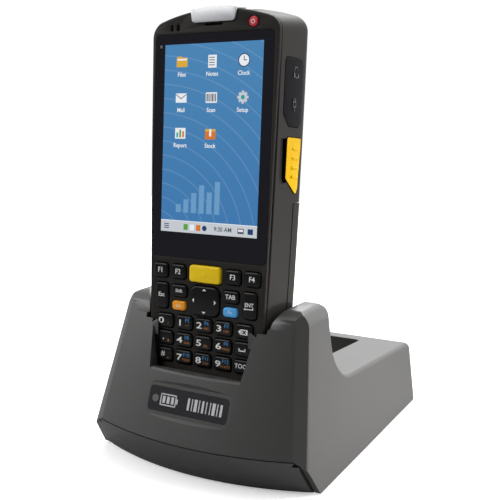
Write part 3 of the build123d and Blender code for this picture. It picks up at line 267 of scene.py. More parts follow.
# Nitrile rubber is matt and nearly black, with no clear highlight.
black_rubber = moulded("matt nitrile rubber", "1b1b1b", "161616", 0.62, 0.5, 0.02)
finish_node(black_rubber, "rubber_feet")


def plated(name, shade, deeper, roughness, grain=0.3, metallic=1.0):
    """Plated or machined metal with a faint grain of a size in mm."""
    material = bpy.data.materials.new(name)
    material.use_nodes = True
    tree = material.node_tree
    surface = tree.nodes["Principled BSDF"]
    place = add_node(tree, "ShaderNodeTexCoord").outputs["Object"]
    grains = add_node(tree, "ShaderNodeTexNoise", {"Scale": 1 / (grain * mm), "Detail": 2.0},
                      {"Vector": place})
    tone = add_node(tree, "ShaderNodeMix",
                    {"data_type": "RGBA", 6: linear(shade), 7: linear(deeper)},
                    {0: grains.outputs["Fac"]})
    polish = add_node(tree, "ShaderNodeMapRange",
                      {"To Min": roughness - 0.05, "To Max": roughness + 0.05},
                      {"Value": grains.outputs["Fac"]})
    tree.links.new(tone.outputs[2], surface.inputs["Base Color"])
    tree.links.new(polish.outputs["Result"], surface.inputs["Roughness"])
    surface.inputs["Metallic"].default_value = metallic
    return material


# Zinc plating is a cool bright grey that blurs what it mirrors.
zinc_steel = plated("zinc-plated steel", "b4b6ba", "9a9ca0", 0.32)
finish_node(zinc_steel, "base_screws", "service_port")

# ---------------------------------------------------------------- charger board, contacts and sockets
# Green solder-masked board in the hollow underside, gold-plated spring contacts in a nylon
# block, and two moulded sockets that show in the rear wall.

# Solder mask is a clear green lacquer, so the board has a soft gloss.
solder_mask = moulded("green solder mask", "1f5a38", "184a2e", 0.35, 1.4, 0.01, coat=0.3)
finish_node(solder_mask, "charger_board", "main_board")
# Gold plating shows as small warm glints.
gold_plate = plated("gold-plated bronze", "d9b264", "c79c4c", 0.24)
finish_node(gold_plate, "dock_pins", "bay_contacts", "charging_pads")
# Glass-filled nylon is a dry, slightly grey black.
black_nylon = moulded("glass-filled black nylon", "171718", "121213", 0.5, 0.5, 0.015)
finish_node(black_nylon, "dock_contact_block", "power_inlet", "usb_socket", "headset_jack",
            "scan_engine", "battery_pack", "nav_post")

# ---------------------------------------------------------------- badge plate and charge lamp
# Satin black plate glued into the dish of the cradle's front. It is screen-printed in silver with
# a battery and a bar code, and the frosted end of a light pipe shows in its left end.

# Lacquer is smoother than the shell round it, so the plate has a soft sheen and no grain.
plate_black = moulded("satin black lacquered plate", "2c2c30", "27272b", 0.34, 1.0, 0.004, shine=0.35)
finish_node(plate_black, "badge_plate")
# A frosted pipe end is a flat milky grey while its lamp is off.
frosted_grey = moulded("frosted light pipe", "747476", "626264", 0.28, 0.6, 0.01, coat=0.4)
finish_node(frosted_grey, "status_lens")
# Silver ink is pale and even, without a metal's mirror.
silver_ink = moulded("silver screen-print ink", "d6d6d8", "c4c4c6", 0.38, 0.4, 0.004)


def block(name, middle, size, turn=0.0):
    """Block in an upright work frame, by its middle and size in mm, turned in its own face."""
    bpy.ops.object.select_all(action="DESELECT")
    bpy.ops.mesh.primitive_cube_add(size=1, location=[value * mm for value in middle],
                                    rotation=(0, turn, 0))
    piece = bpy.context.object
    piece.name = name
    piece.scale = [value * mm for value in size]
    bpy.ops.object.transform_apply(location=True, rotation=True, scale=True)
    return piece


def joined(name, pieces):
    """Joins pieces into one, keeping their finishes."""
    bpy.ops.object.select_all(action="DESELECT")
    for piece in pieces:
        piece.select_set(True)
    bpy.context.view_layer.objects.active = pieces[0]
    if len(pieces) > 1:
        bpy.ops.object.join()
    pieces[0].name = name
    return pieces[0]


def set_down(piece, place, lean):
    """Leans a piece back from its upright work frame and moves it to its place."""
    bpy.ops.object.select_all(action="DESELECT")
    piece.select_set(True)
    bpy.context.view_layer.objects.active = piece
    piece.rotation_euler = (-lean, 0, 0)
    piece.location = place
    bpy.ops.object.transform_apply(location=True, rotation=True, scale=True)


badge_lean, plate_half = radians(20.2), 0.4
badge_low, badge_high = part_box("badge_plate")
badge_out = Vector((0, -cos(badge_lean), sin(badge_lean)))
badge_face = (badge_low + badge_high) / 2 + badge_out * plate_half * mm

print_back, print_depth, stroke, mark_height = -0.02, 0.06, 0.45, 4.4
plate_marks = [block("mark", (-8.6, print_back, 2.0), (7.0, print_depth, stroke)),
               block("mark", (-8.6, print_back, -2.0), (7.0, print_depth, stroke)),
               block("mark", (-11.9, print_back, 0), (stroke, print_depth, mark_height)),
               block("mark", (-5.3, print_back, 0), (stroke, print_depth, mark_height)),
               block("mark", (-4.7, print_back, 0), (0.6, print_depth, 1.8))]
first_cell, cell_pitch, cell = -10.5, 1.9, (1.2, print_depth, 2.6)
for number in range(3):
    plate_marks.append(block("mark", (first_cell + cell_pitch * number, print_back, 0), cell))
first_bar, bar_pitch = 0.4, 1.55
for number, width in enumerate((0.9, 0.4, 1.3, 0.4, 0.9, 0.4, 0.4, 1.3, 0.4, 0.9)):
    plate_marks.append(block("mark", (first_bar + bar_pitch * number, print_back, 0),
                             (width, print_depth, mark_height)))
charge_print = paint(joined("charge_print", plate_marks), silver_ink)
set_down(charge_print, badge_face, badge_lean)
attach(charge_print, "cradle")

# ---------------------------------------------------------------- terminal housings
# Front and rear shells of the terminal, in a darker charcoal than the cradle with a finer grain.
# The battery cover and its latch are moulded to match. The front shell's edges are softly
# rounded, with the silicone mat of the keys behind it and tinted windows in the head.


def softened(node, rim, segments, corner=30):
    """Stands in for a CAD node, rounding to a radius in mm its edges sharper than the corner."""
    piece = stand_in(node)
    bevel = piece.modifiers.new("rounded rim", "BEVEL")
    bevel.width = rim * mm
    bevel.segments = segments
    bevel.limit_method = "ANGLE"
    bevel.angle_limit = radians(corner)
    bpy.ops.object.modifier_apply(modifier=bevel.name)
    bpy.ops.object.shade_smooth_by_angle(angle=smooth_angle)
    return piece


# Finely grained ABS stays dark and dry, with little of the cradle's grey bloom.
fine_charcoal = moulded("fine-grained charcoal ABS", "32302e", "2d2b29", 0.50, 0.6, 0.022, shine=0.08)
finish_node(fine_charcoal, "rear_housing", "battery_cover", "battery_latch")
front_shell = paint(softened("front_housing", rim=0.3, segments=2, corner=40), fine_charcoal)
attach(front_shell, "terminal")
# Silicone is a soft dead black in the gaps round the keys.
silicone_mat = moulded("black silicone mat", "0d0d0e", "0a0a0b", 0.6, 0.5, 0.01)
finish_node(silicone_mat, "keypad_mat")
# Tinted acrylic is polished, so it shows as a black mirror.
piano_black = moulded("gloss black tinted acrylic", "0c0c0f", "0a0a0d", 0.10, 2.0, 0.001, shine=0.3)
finish_node(piano_black, "scan_window", "front_lenses")

# ---------------------------------------------------------------- side triggers
# Yellow polycarbonate buttons, satin moulded, with four short soft ribs for the finger. Their
# rims are rounded, so the edge catches the light, and their walls are painted black: painted
# shade for the shadow in the scoop round each.

# Satin polycarbonate is a full, even yellow with a wide soft highlight. Its yellow is painted
# darker than the scan key's, to offset the strong side light: painted shade.
yellow_pc = moulded("satin yellow polycarbonate", "e0b10b", "d8a909", 0.38, 0.8, 0.010, shine=0.05)
# The walls are painted a dull black: painted shade that sets the button off from the shell.
black_painted_shade = moulded("black paint for the shade round the trigger", "101011", "0c0c0d", 0.6, 0.5, 0.01, shine=0.1)

# The terminal stands on its seat in the cradle and leans back.
seat = Vector((0, -49.5, 30.3)) * mm
terminal_lean = radians(4.3)
shade_turn = 0.3  # faces that look less to the side than this are painted black as shade
rib_size, rib_round, rib_sunk = (1.6, 5.4, 1.5), 0.65, 0.69
rib_depth, top_rib, rib_pitch = 15.6, 92.5, 3.4
small_angle = radians(40)
for node, side in (("left_trigger", -1), ("right_trigger", 1)):
    trigger = paint(softened(node, rim=0.7, segments=6), yellow_pc)
    trigger.data.materials.append(black_painted_shade)
    # The trigger's walls, which look away from the side, are painted black: painted shade.
    for face in trigger.data.polygons:
        if abs(face.normal.x) < shade_turn:
            face.material_index = 1
    reach = max(side * corner.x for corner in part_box(node)) / mm
    ribs = []
    for number in range(4):
        middle = (side * (reach - rib_sunk), rib_depth, top_rib - rib_pitch * number)
        rib = block("rib", middle, rib_size)
        swell = rib.modifiers.new("soft rib", "BEVEL")
        swell.width = rib_round * mm
        swell.segments = 5
        bpy.ops.object.modifier_apply(modifier=swell.name)
        bpy.ops.object.shade_smooth_by_angle(angle=small_angle)
        set_down(rib, seat, terminal_lean)
        ribs.append(paint(rib, yellow_pc))
    trigger = joined(f"{node}_moulding", [trigger] + ribs)
    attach(trigger, node)

# ---------------------------------------------------------------- socket cover
# Soft black rubber flap that plugs the headset and data sockets, with a raised earphone and a
# raised plug to tell them apart.

# Soft rubber drinks up light: a flat blue-black beside the grey shell.
cover_rubber = moulded("soft black rubber", "1a1a1e", "16161a", 0.5, 0.5, 0.015, shine=0.04)
flap = paint(softened("port_cover", rim=0.5, segments=4), cover_rubber)
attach(flap, "port_cover")
# The raised signs are painted a paler grey than the flap: a painted highlight for the light their edges
# catch.
painted_highlight_grey = moulded("raised rubber painted pale", "3c3c42", "323238", 0.4, 0.3, 0.003)


def ring(name, middle, radius, width, thickness):
    """Flat ring that faces the front, by its middle, mean radius, width and thickness in mm."""
    bpy.ops.object.select_all(action="DESELECT")
    bpy.ops.mesh.primitive_torus_add(major_radius=radius * mm, minor_radius=width / 2 * mm,
                                     major_segments=48, minor_segments=8,
                                     location=[value * mm for value in middle],
                                     rotation=(pi / 2, 0, 0))
    piece = bpy.context.object
    piece.name = name
    piece.scale.z = thickness / width
    bpy.ops.object.transform_apply(location=True, rotation=True, scale=True)
    return piece


# The cover's face looks a little to the rear of square, and the signs are rolled a little in it.
cover_face, cover_turn, sign_roll = 27.26, radians(1.8), radians(-0.8)


def side_mark(pieces, depth, height):
    """Turns marks made facing the front to face right, and puts them on the socket cover."""
    # The signs take the pale grey: a painted highlight.
    mark = paint(joined("socket_mark", pieces), painted_highlight_grey)
    mark.rotation_euler = (0, sign_roll, pi / 2 + cover_turn)
    mark.location = (cover_face * mm, depth * mm, height * mm)
    bpy.ops.object.transform_apply(location=True, rotation=True, scale=True)
    set_down(mark, seat, terminal_lean)
    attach(mark, "port_cover")


raised = 0.3
earphone = [ring("mark", (0, 0, 0.3), 1.9, 0.4, raised),
            block("mark", (-1.8, 0, -0.8), (1.0, raised, 1.5)),
            block("mark", (1.8, 0, -0.8), (1.0, raised, 1.5))]
side_mark(earphone, depth=13.8, height=119.6)
plug = [block("mark", (0, 0, 0.5), (2.6, raised, 0.35)),
        block("mark", (0, 0, -1.3), (2.6, raised, 0.35)),
        block("mark", (-1.15, 0, -0.4), (0.35, raised, 2.0)),
        block("mark", (1.15, 0, -0.4), (0.35, raised, 2.0)),
        block("mark", (-0.6, 0, 1.2), (0.4, raised, 1.2)),
        block("mark", (0.6, 0, 1.2), (0.4, raised, 1.2)),
        block("mark", (0, 0, -2.2), (0.4, raised, 1.6))]
side_mark(plug, depth=13.0, height=108.9)

# ---------------------------------------------------------------- keys
# Moulded keycaps with rounded rims on a hidden flange behind the plate. The figures are
# printed in white, with blue and orange second meanings that the two coloured keys reach.

# Satin keycaps are blacker than the plate, and their rounded rims draw thin lines of light.
key_black = moulded("satin black keycap", "0c0c0e", "09090b", 0.34, 0.5, 0.008, shine=0.3)
orange_key = moulded("satin orange keycap", "fba62c", "f49c24", 0.36, 0.5, 0.008, shine=0.3)
blue_key = moulded("satin blue keycap", "5fb4f2", "55aaea", 0.36, 0.5, 0.008, shine=0.3)
# Key inks are flat and even. The second meanings are duller than the white figures.
white_ink = moulded("white key print", "f2f2f0", "e6e6e4", 0.5, 0.3, 0.003)
blue_ink = moulded("blue key print", "4f95d6", "4489cb", 0.5, 0.3, 0.003)
orange_ink = moulded("orange key print", "b8763a", "ac6c32", 0.5, 0.3, 0.003)
pale_ink = moulded("pale key print", "ffe3b0", "f6d9a4", 0.5, 0.3, 0.003)
ice_ink = moulded("pale blue key print", "c9e4fa", "bedbf3", 0.5, 0.3, 0.003)

key_proud, plate_depth, slab, cap_rim, ink_depth = 0.9, 2.0, 0.4, 0.7, 0.04
key_face = -key_proud


def keycap(node, u, v, size, material, radius=1.3, proud=key_proud, root=0.1,
           flange=0.45):
    """Keycap in its hole: a flange slab whose face is inset, drawn out through the plate and rounded.

    u and v are its middle on the terminal's face. It stands proud of that face, and its slab lies
    below the plate by root. All are in mm.
    """
    width, height = size
    cap = block(f"{node}_cap", (u, plate_depth + root + slab / 2, v),
                (width + 2 * flange, slab, height + 2 * flange))
    front = -proud * mm
    drawn_out = -(plate_depth + root + proud) * mm
    bpy.ops.object.mode_set(mode="EDIT")
    pick(cap, lambda face: face.normal.y < -0.9)
    bpy.ops.mesh.inset(thickness=flange * mm, depth=0)
    bpy.ops.mesh.extrude_region_move(TRANSFORM_OT_translate={"value": (0, drawn_out, 0)})
    pick(cap, lambda edge: abs(edge.verts[0].co.y - edge.verts[1].co.y) > 1.5 * mm, "EDGE")
    bpy.ops.mesh.bevel(offset=radius * mm, segments=6, affect="EDGES")
    pick(cap, lambda edge: abs(abs(edge.verts[0].co.y - edge.verts[1].co.y) - slab * mm) < 0.01 * mm,
         "EDGE")
    bpy.ops.mesh.bevel(offset=(radius + flange) * mm, segments=6, affect="EDGES")
    pick(cap, lambda edge: all(abs(vert.co.y - front) < 0.001 * mm for vert in edge.verts), "EDGE")
    bpy.ops.mesh.bevel(offset=cap_rim * mm, segments=4, affect="EDGES")
    bpy.ops.object.mode_set(mode="OBJECT")
    bpy.ops.object.shade_smooth_by_angle(angle=smooth_angle)
    paint(cap, material)
    set_down(cap, seat, terminal_lean)
    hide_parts(node)
    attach(cap, node)


def lettering(name, text, middle, height, stretch=1.0, weight=0.02):
    """Print that faces the front, by its line's middle, its capitals' height in mm and boldness."""
    capital_share = 0.73
    bpy.ops.object.select_all(action="DESELECT")
    bpy.ops.object.text_add(location=[value * mm for value in middle], rotation=(pi / 2, 0, 0))
    piece = bpy.context.object
    piece.name = name
    piece.data.body = text
    piece.data.size = height / capital_share * mm
    piece.data.align_x = "CENTER"
    piece.data.align_y = "CENTER"
    piece.data.resolution_u = 3
    piece.data.extrude = ink_depth / 2 * mm
    piece.data.offset = weight * height * mm
    piece.scale.x = stretch
    bpy.ops.object.convert(target="MESH")
    bpy.ops.object.transform_apply(location=True, rotation=True, scale=True)
    return piece


def disc(name, middle, radius, thickness, sides=32):
    """Round or many-sided plate that faces the front, by its middle, radius and thickness in mm."""
    bpy.ops.object.select_all(action="DESELECT")
    bpy.ops.mesh.primitive_cylinder_add(vertices=sides, radius=radius * mm, depth=thickness * mm,
                                        location=[value * mm for value in middle],
                                        rotation=(pi / 2, 0, 0))
    piece = bpy.context.object
    piece.name = name
    bpy.ops.object.transform_apply(location=True, rotation=True, scale=True)
    return piece


def print_on(node, marks):
    """Joins marks made in place, each with its ink, into the print of a key."""
    prints = joined(f"{node}_print", [paint(piece, ink) for piece, ink in marks])
    set_down(prints, seat, terminal_lean)
    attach(prints, node)


number_key, column_pitch, row_pitch, top_row = (7.3, 5.3), 8.65, 6.65, 25.7
figure_left, figure_low, figure_height, figure_stretch = 1.75, 0.2, 2.4, 1.6
second_right, second_up, blue_height, orange_height = 1.45, 0.95, 1.5, 1.0
number_keys = (("1", "F5", "+-*"), ("2", "F6", "ABC"), ("3", "F7", "DEF"), ("4", "F8", "GHI"),
               ("5", "", "JKL"), ("6", "F9", "MNO"), ("7", "F10", "PQRS"), ("8", "F11", "TUV"),
               ("9", "F12", "WXYZ"), ("0", "", "/"))
for figure, second, third in number_keys:
    index = int(figure)
    column, row = (-2, 0) if index == 0 else ((index - 1) % 3 - 1, (index - 1) // 3)
    u, v = column_pitch * column, top_row - row_pitch * row
    keycap(f"key_{figure}", u, v, number_key, key_black)
    marks = [(lettering("mark", figure, (u - figure_left, key_face, v - figure_low), figure_height,
                        figure_stretch), white_ink)]
    if second:
        marks.append((lettering("mark", second, (u + second_right, key_face, v + second_up),
                                blue_height, 1.0, 0.0), blue_ink))
    marks.append((lettering("mark", third, (u + second_right, key_face, v - second_up),
                            orange_height, 1.05, 0.0), orange_ink))
    print_on(f"key_{figure}", marks)

function_key, function_row = (6.5, 5.5), 45.0
for number, u in ((1, -20.0), (2, -12.0), (3, 12.0), (4, 20.0)):
    keycap(f"key_f{number}", u, function_row, function_key, key_black)
    legend = lettering("mark", f"F{number}", (u, key_face, function_row), 2.0, 0.95)
    print_on(f"key_f{number}", [(legend, white_ink)])

outer_column, second_row, third_row = 17.3, 19.05, 12.4
for name, u, v, text, height, aside in (("dot", -outer_column, second_row, ".", 2.6, 0.6),
                                        ("hash", -outer_column, third_row, "#", 2.2, 0.6),
                                        ("tools", outer_column, third_row, "TOOL", 1.7, 0)):
    keycap(f"key_{name}", u, v, number_key, key_black)
    marks = [(lettering("mark", text, (u - aside, key_face, v + 0.3), height), white_ink)]
    if name == "dot":
        marks.append((disc("mark", (u + 1.7, key_face, v - 1.0), 0.42, ink_depth, 16), orange_ink))
    if name == "hash":
        marks.append((block("mark", (u + 1.7, key_face, v - 1.2), (1.0, ink_depth, 0.3)), orange_ink))
    print_on(f"key_{name}", marks)

keycap("key_backspace", outer_column, top_row, number_key, key_black)
print_on("key_backspace", [
    (block("mark", (17.7, key_face, 25.5), (2.7, ink_depth, 2.0)), white_ink),
    (block("mark", (16.1, key_face, 25.5), (1.42, ink_depth, 1.42), radians(45)), white_ink),
    (lettering("mark", "x", (17.7, key_face - 0.03, 25.7), 1.9, 1.1, 0.05), key_black)])
keycap("key_space", outer_column, second_row, number_key, key_black)
print_on("key_space", [
    (block("mark", (17.0, key_face, 18.5), (2.9, ink_depth, 0.4)), white_ink),
    (block("mark", (15.75, key_face, 18.9), (0.4, ink_depth, 1.0)), white_ink),
    (block("mark", (18.25, key_face, 18.9), (0.4, ink_depth, 1.0)), white_ink)])

tall_key, tall_row = (5.7, 10.0), 35.3
for name, u, text, height in (("escape", -19.25, "Esc", 1.7), ("enter", 19.25, "ENT", 1.5)):
    keycap(f"key_{name}", u, tall_row, tall_key, key_black)
    marks = [(lettering("mark", text, (u, key_face, 35.6), height, 0.95), white_ink)]
    if name == "enter":
        marks += [(block("mark", (u, key_face, 34.1), (3.4, ink_depth, 0.32)), white_ink),
                  (block("mark", (u + 1.6, key_face, 34.5), (0.32, ink_depth, 0.9)), white_ink),
                  (disc("mark", (u - 1.7, key_face, 34.1), 0.55, ink_depth, 3), white_ink)]
    print_on(f"key_{name}", marks)

inner_column, shift_key, shift_row = 11.3, (6.9, 4.6), 37.7
for name, u, text, height in (("shift", -inner_column, "Shift", 1.3), ("tab", inner_column, "TAB", 1.7)):
    keycap(f"key_{name}", u, shift_row, shift_key, key_black)
    print_on(f"key_{name}", [(lettering("mark", text, (u, key_face, shift_row), height), white_ink)])

colour_key, colour_row = (6.2, 3.6), 32.0
for name, u, text, cap, ink in (("orange", -inner_column, "abc", orange_key, pale_ink),
                                ("blue", inner_column, "Fn", blue_key, ice_ink)):
    keycap(f"key_{name}", u, colour_row, colour_key, cap)
    legend = lettering("mark", text, (u, key_face, colour_row), 1.4)
    print_on(f"key_{name}", [(legend, ink)])

# ---------------------------------------------------------------- scan key
# Wide yellow key above the pad, moulded in silicone. It stands higher than the other keys, with
# a low dot on it for the thumb to find.

# Satin silicone is a cleaner yellow than the triggers' plastic. It is also painted brighter than
# them, as painted light that makes up for the dimmer light on the front.
yellow_silicone_painted_lighter = moulded("satin yellow silicone, painted lighter", "ffda1c", "fad216", 0.40, 0.6, 0.008, shine=0.3)
scan_key, scan_proud, dot_radius, dot_height, dot_rim = (13.6, 6.4), 1.3, 0.95, 0.16, 0.07
# The scan key and its dot take the yellow painted brighter for the dim front: painted light.
keycap("key_scan", 0, function_row, scan_key, yellow_silicone_painted_lighter, proud=scan_proud)
dot = disc("key_scan_dot", (0, -scan_proud, function_row), dot_radius, dot_height)
bpy.ops.object.mode_set(mode="EDIT")
pick(dot, lambda edge: all(vert.co.y < -1.35 * mm for vert in edge.verts), "EDGE")
bpy.ops.mesh.bevel(offset=dot_rim * mm, segments=3, affect="EDGES")
bpy.ops.object.mode_set(mode="OBJECT")
bpy.ops.object.shade_smooth_by_angle(angle=small_angle)
paint(dot, yellow_silicone_painted_lighter)
set_down(dot, seat, terminal_lean)
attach(dot, "key_scan")

# ---------------------------------------------------------------- navigation pad
# Square rocking pad, moulded in the keys' satin black, with four printed arrowheads. Its flange
# is narrower than a key's and lies further back.
pad_row, pad_size = 34.9, (13.0, 11.2)
keycap("nav_pad", 0, pad_row, pad_size, key_black, radius=3.0, root=0.35, flange=0.15)
arrow_up, arrow_across, arrow_radius = 4.2, 4.7, 0.85
arrows = []
for turn, u, v in ((0, 0, arrow_up), (90, arrow_across, 0), (180, 0, -arrow_up),
                   (270, -arrow_across, 0)):
    head = disc("mark", (0, key_face, 0), arrow_radius, ink_depth, 3)
    head.rotation_euler = (0, radians(turn), 0)
    head.scale = (1.2, 1, 0.65)
    head.location = (u * mm, 0, (pad_row + v) * mm)
    bpy.ops.object.transform_apply(location=True, rotation=True, scale=True)
    arrows.append((head, white_ink))
print_on("nav_pad", arrows)

# ---------------------------------------------------------------- power button
# Small moulded red button in the top right corner of the front, printed in white with the on
# and off sign: a ring, a gap in the button's own red, and a short stroke in the gap.

# Satin plastic under a thin clear coat is a deep red with one small highlight.
red_key = moulded("satin red button", "df2238", "d31c31", 0.36, 0.5, 0.008, coat=0.2)
finish_node(red_key, "power_button")
power_column, power_face = 16.6, -0.72
print_on("power_button", [
    (ring("mark", (power_column, power_face, 136.15), 0.72, 0.24, 0.05), white_ink),
    (block("mark", (power_column, power_face, 136.75), (0.5, 0.06, 0.5)), red_key),
    (block("mark", (power_column, power_face - 0.01, 136.6), (0.2, 0.05, 0.8)), white_ink)])

# ---------------------------------------------------------------- display
# Hardened cover glass, printed black on its back, over the lit panel. The panel's picture
# shows through the clear window, flush with the polished face.

# Black print behind polished glass is a deep, slightly violet black that mirrors the room.
cover_glass = moulded("back-printed cover glass", "26252b", "232228", 0.10, 2.0, 0.001, shine=0.3)
finish_node(cover_glass, "display_glass", "display_panel")


def lit(name, shade, strength=0.9):
    """Lit part of the picture behind polished glass: an even glow that hardly mirrors the room.

    Its dots are drawn 0.4 mm wide, coarser than a real panel's.
    """
    dot_width = 0.4
    material = bpy.data.materials.new(name)
    material.use_nodes = True
    tree = material.node_tree
    surface = tree.nodes["Principled BSDF"]
    place = add_node(tree, "ShaderNodeTexCoord").outputs["Object"]
    dots = add_node(tree, "ShaderNodeTexNoise", {"Scale": 1 / (dot_width * mm)}, {"Vector": place})
    duller = [part * 0.96 for part in linear(shade)]
    tone = add_node(tree, "ShaderNodeMix", {"data_type": "RGBA", 6: duller, 7: linear(shade)},
                    {0: dots.outputs["Fac"]})
    tree.links.new(tone.outputs[2], surface.inputs["Emission Color"])
    surface.inputs["Emission Strength"].default_value = strength
    surface.inputs["Base Color"].default_value = (0.01, 0.01, 0.012, 1)
    surface.inputs["Roughness"].default_value = 0.08
    surface.inputs["Specular IOR Level"].default_value = 0.06
    return material


# The wallpaper is a blue that lightens upwards. Thin pale rings cross it, round a middle beyond
# its lower left corner.
to_rings_middle, ring_scale, ring_edge, ring_strength = (0.024, 0.0, -0.085), 60.0, 0.965, 0.14
wallpaper = lit("lit blue wallpaper", "4682b6", 0.92)
wallpaper_tree = wallpaper.node_tree
screen_place = add_node(wallpaper_tree, "ShaderNodeTexCoord").outputs["Object"]
screen_rings = add_node(wallpaper_tree, "ShaderNodeMapping",
                        {"Location": to_rings_middle, "vector_type": "POINT"},
                        {"Vector": screen_place})
ripples = add_node(wallpaper_tree, "ShaderNodeTexWave",
                   {"wave_type": "RINGS", "rings_direction": "Y", "Scale": ring_scale},
                   {"Vector": screen_rings.outputs["Vector"]})
thin = add_node(wallpaper_tree, "ShaderNodeMapRange",
                {"From Min": ring_edge, "From Max": 1.0, "To Min": 0.0, "To Max": ring_strength},
                {"Value": ripples.outputs["Fac"]})
rising = add_node(wallpaper_tree, "ShaderNodeSeparateXYZ", links={"Vector": screen_place})
fade = add_node(wallpaper_tree, "ShaderNodeMapRange",
                {"From Min": 0.09, "From Max": 0.16, "To Min": 0.0, "To Max": 1.0},
                {"Value": rising.outputs["Z"]})
blues = add_node(wallpaper_tree, "ShaderNodeMix",
                 {"data_type": "RGBA", 6: linear("3f7ab2"), 7: linear("4c88ba")},
                 {0: fade.outputs["Result"]})
lines = add_node(wallpaper_tree, "ShaderNodeMix", {"data_type": "RGBA", 7: linear("b9d4ea")},
                 {0: thin.outputs["Result"], 6: blues.outputs[2]})
wallpaper_surface = wallpaper_tree.nodes["Principled BSDF"]
wallpaper_tree.links.new(lines.outputs[2], wallpaper_surface.inputs["Emission Color"])
picture_width, picture_height, picture_middle = 41.8, 69.6, 94.8
picture = paint(block("screen_wallpaper", (0, 0, picture_middle),
                      (picture_width, 0.06, picture_height)), wallpaper)
set_down(picture, seat, terminal_lean)
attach(picture, "terminal")

# On the wallpaper lie eight everyday icons in three columns with their captions, six pale bars,
# and the bar along the bottom. Their colours glow flat and even.
screen_white = lit("lit white", "eef1f4", 0.95)
screen_grey = lit("lit grey", "c9ced4", 0.95)
screen_slate = lit("lit slate", "4a5560")
screen_navy = lit("lit navy", "1d3e6e")
screen_gold = lit("lit gold", "e6b23c")
screen_teal = lit("lit teal", "2fa3a0")
screen_green = lit("lit green", "5aa84a")
screen_orange = lit("lit orange", "e07a2c")
screen_haze = lit("lit pale blue", "6fa0cb", 0.92)
leaf = 0.02


def layer_face(layer):
    """How far in front of the glass a layer of the picture lies; higher layers cover lower ones."""
    return -0.03 - 0.01 * layer


def tile(u, v, width, height, material, layer=1, turn=0.0):
    """Flat coloured bar of the picture."""
    return paint(block("picture", (u, layer_face(layer), v), (width, leaf, height), turn), material)


def dot_of(u, v, radius, material, layer=1):
    """Round spot of the picture."""
    return paint(disc("picture", (u, layer_face(layer), v), radius, leaf), material)


def words_of(text, u, v, height, material, layer=1):
    """Words of the picture, on one line."""
    return paint(lettering("picture", text, (u, layer_face(layer), v), height, 0.95), material)


# Each icon is drawn round its middle, on a field of about 5 mm.
def icon_folder(u, v):
    return [tile(u - 1.1, v + 1.6, 2.2, 1.0, screen_gold), tile(u, v, 4.8, 3.4, screen_gold),
            tile(u, v + 0.2, 4.2, 2.2, screen_white, 2), tile(u, v - 0.5, 4.8, 2.4, screen_gold, 3)]


def icon_notes(u, v):
    return [tile(u, v, 3.6, 4.6, screen_white)] + [
        tile(u - 0.2, v + 1.4 - 0.9 * number, 2.4, 0.3, screen_slate, 2) for number in range(4)]


def icon_letter(u, v):
    return [tile(u, v, 4.8, 3.4, screen_white),
            tile(u - 1.1, v + 0.5, 2.9, 0.3, screen_slate, 2, radians(35)),
            tile(u + 1.1, v + 0.5, 2.9, 0.3, screen_slate, 2, radians(-35))]


def icon_clock(u, v):
    return [dot_of(u, v, 2.4, screen_navy), dot_of(u, v, 2.05, screen_white, 2),
            tile(u, v + 0.7, 0.3, 1.5, screen_navy, 3), tile(u + 0.55, v, 1.2, 0.3, screen_navy, 3)]


def icon_bars(u, v):
    widths = (0.5, 0.25, 0.4, 0.25, 0.5, 0.25, 0.4)
    return [tile(u, v, 4.8, 3.8, screen_white)] + [
        tile(u - 1.8 + 0.6 * number, v, width, 2.8, screen_slate, 2)
        for number, width in enumerate(widths)]


def icon_parcel(u, v):
    return [tile(u, v - 0.3, 4.4, 3.6, screen_orange), tile(u, v + 1.2, 4.4, 0.9, screen_gold, 2),
            tile(u, v + 0.3, 0.9, 2.6, screen_white, 3)]


def icon_chart(u, v):
    return [tile(u, v, 4.6, 4.0, screen_white), tile(u - 1.3, v - 0.6, 0.8, 1.8, screen_teal, 2),
            tile(u, v - 0.1, 0.8, 2.8, screen_green, 2),
            tile(u + 1.3, v - 0.35, 0.8, 2.3, screen_orange, 2)]


def icon_cog(u, v):
    return [tile(u, v, 4.6, 1.0, screen_grey), tile(u, v, 1.0, 4.6, screen_grey),
            tile(u, v, 4.4, 1.0, screen_grey, 1, radians(45)),
            tile(u, v, 4.4, 1.0, screen_grey, 1, radians(-45)),
            dot_of(u, v, 1.7, screen_grey, 2), dot_of(u, v, 0.8, screen_teal, 3)]


desktop = []
icon_across, icon_down, icon_top, caption_below, caption_height = 13.2, 13.0, 123.0, 4.5, 1.6
shown = ((icon_folder, "Files"), (icon_notes, "Notes"), (icon_clock, "Clock"),
         (icon_letter, "Mail"), (icon_bars, "Scan"), (icon_cog, "Setup"),
         (icon_chart, "Report"), (icon_parcel, "Stock"))
for number, (draw, caption) in enumerate(shown):
    u, v = icon_across * (number % 3 - 1), icon_top - icon_down * (number // 3)
    desktop += draw(u, v)
    desktop.append(words_of(caption, u, v - caption_below, caption_height, screen_white))
first_pale, pale_pitch, pale_width, pale_foot = -13.2, 3.4, 2.2, 67.5
for number, height in enumerate((3.0, 5.0, 7.5, 10.5, 8.0, 12.0)):
    desktop.append(tile(first_pale + pale_pitch * number, pale_foot + height / 2, pale_width,
                        height, screen_haze))
bar_row = 62.1
desktop.append(tile(0, 62.2, picture_width, 4.4, screen_grey))
desktop.append(tile(0, 64.3, picture_width, 0.25, screen_white, 2))
desktop += [tile(-18.3, 62.9 - 0.75 * number, 2.2, 0.35, screen_navy, 2) for number in range(3)]
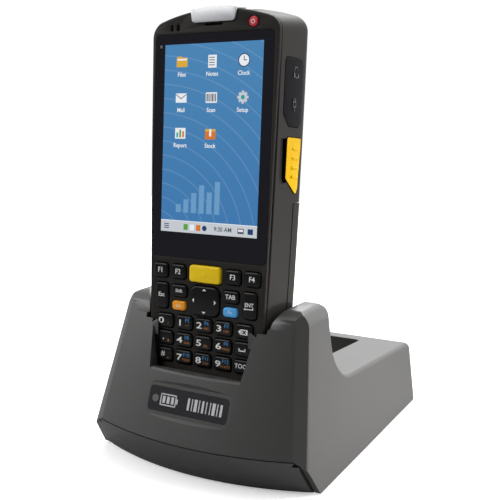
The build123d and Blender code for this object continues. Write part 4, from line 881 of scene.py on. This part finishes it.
desktop += [tile(-9.6, bar_row, 1.9, 2.2, screen_green, 2),
            tile(-6.8, bar_row, 1.9, 2.2, screen_white, 2),
            tile(-4.0, bar_row, 1.9, 2.2, screen_orange, 2),
            dot_of(-1.3, bar_row, 1.0, screen_navy, 2),
            words_of("9:30 AM", 6.6, bar_row, 1.7, screen_slate, 2),
            tile(14.2, bar_row, 2.6, 1.9, screen_slate, 2),
            tile(14.2, 62.3, 2.0, 0.8, screen_white, 3),
            tile(18.2, bar_row, 2.2, 2.0, screen_navy, 2)]
desktop = joined("screen_desktop", desktop)
set_down(desktop, seat, terminal_lean)
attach(desktop, "terminal")

# The light sensor behind the glass shows as a small frosted spot in a gloss black ring.
sensor_column, sensor_row = -22.7, 129.0
sensor = joined("light_sensor", [
    paint(disc("mark", (sensor_column, -0.01, sensor_row), 0.95, 0.03), piano_black),
    paint(disc("mark", (sensor_column, -0.02, sensor_row), 0.6, 0.03), frosted_grey)])
set_down(sensor, seat, terminal_lean)
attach(sensor, "terminal")

# ---------------------------------------------------------------- head badge
# Aluminium cap, anodised and blank, folded over the middle of the top edge. Its lower corners
# are rounded and all its edges are broken, so they draw a thin bright line.

# Satin anodising is a pale even grey that scatters more than it mirrors.
anodised = plated("satin anodised aluminium", "d2d3d5", "c4c5c8", 0.46, 0.5, 0.6)
corner_reach, corner_level, badge_corner, badge_edge = 8.8, 167.5, 1.2, 0.2
head_badge = stand_in("top_badge")
bpy.ops.object.mode_set(mode="EDIT")
pick(head_badge, lambda edge: all(abs(vert.co.x) > corner_reach * mm
                                  and vert.co.z < corner_level * mm for vert in edge.verts)
     and abs(edge.verts[0].co.y - edge.verts[1].co.y) > 0.5 * mm, "EDGE")
bpy.ops.mesh.bevel(offset=badge_corner * mm, segments=6, affect="EDGES")
pick(head_badge, lambda edge: edge.calc_face_angle(0) > radians(30), "EDGE")
bpy.ops.mesh.bevel(offset=badge_edge * mm, segments=3, affect="EDGES")
bpy.ops.object.mode_set(mode="OBJECT")
bpy.ops.object.shade_smooth_by_angle(angle=smooth_angle)
paint(head_badge, anodised)
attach(head_badge, "terminal")
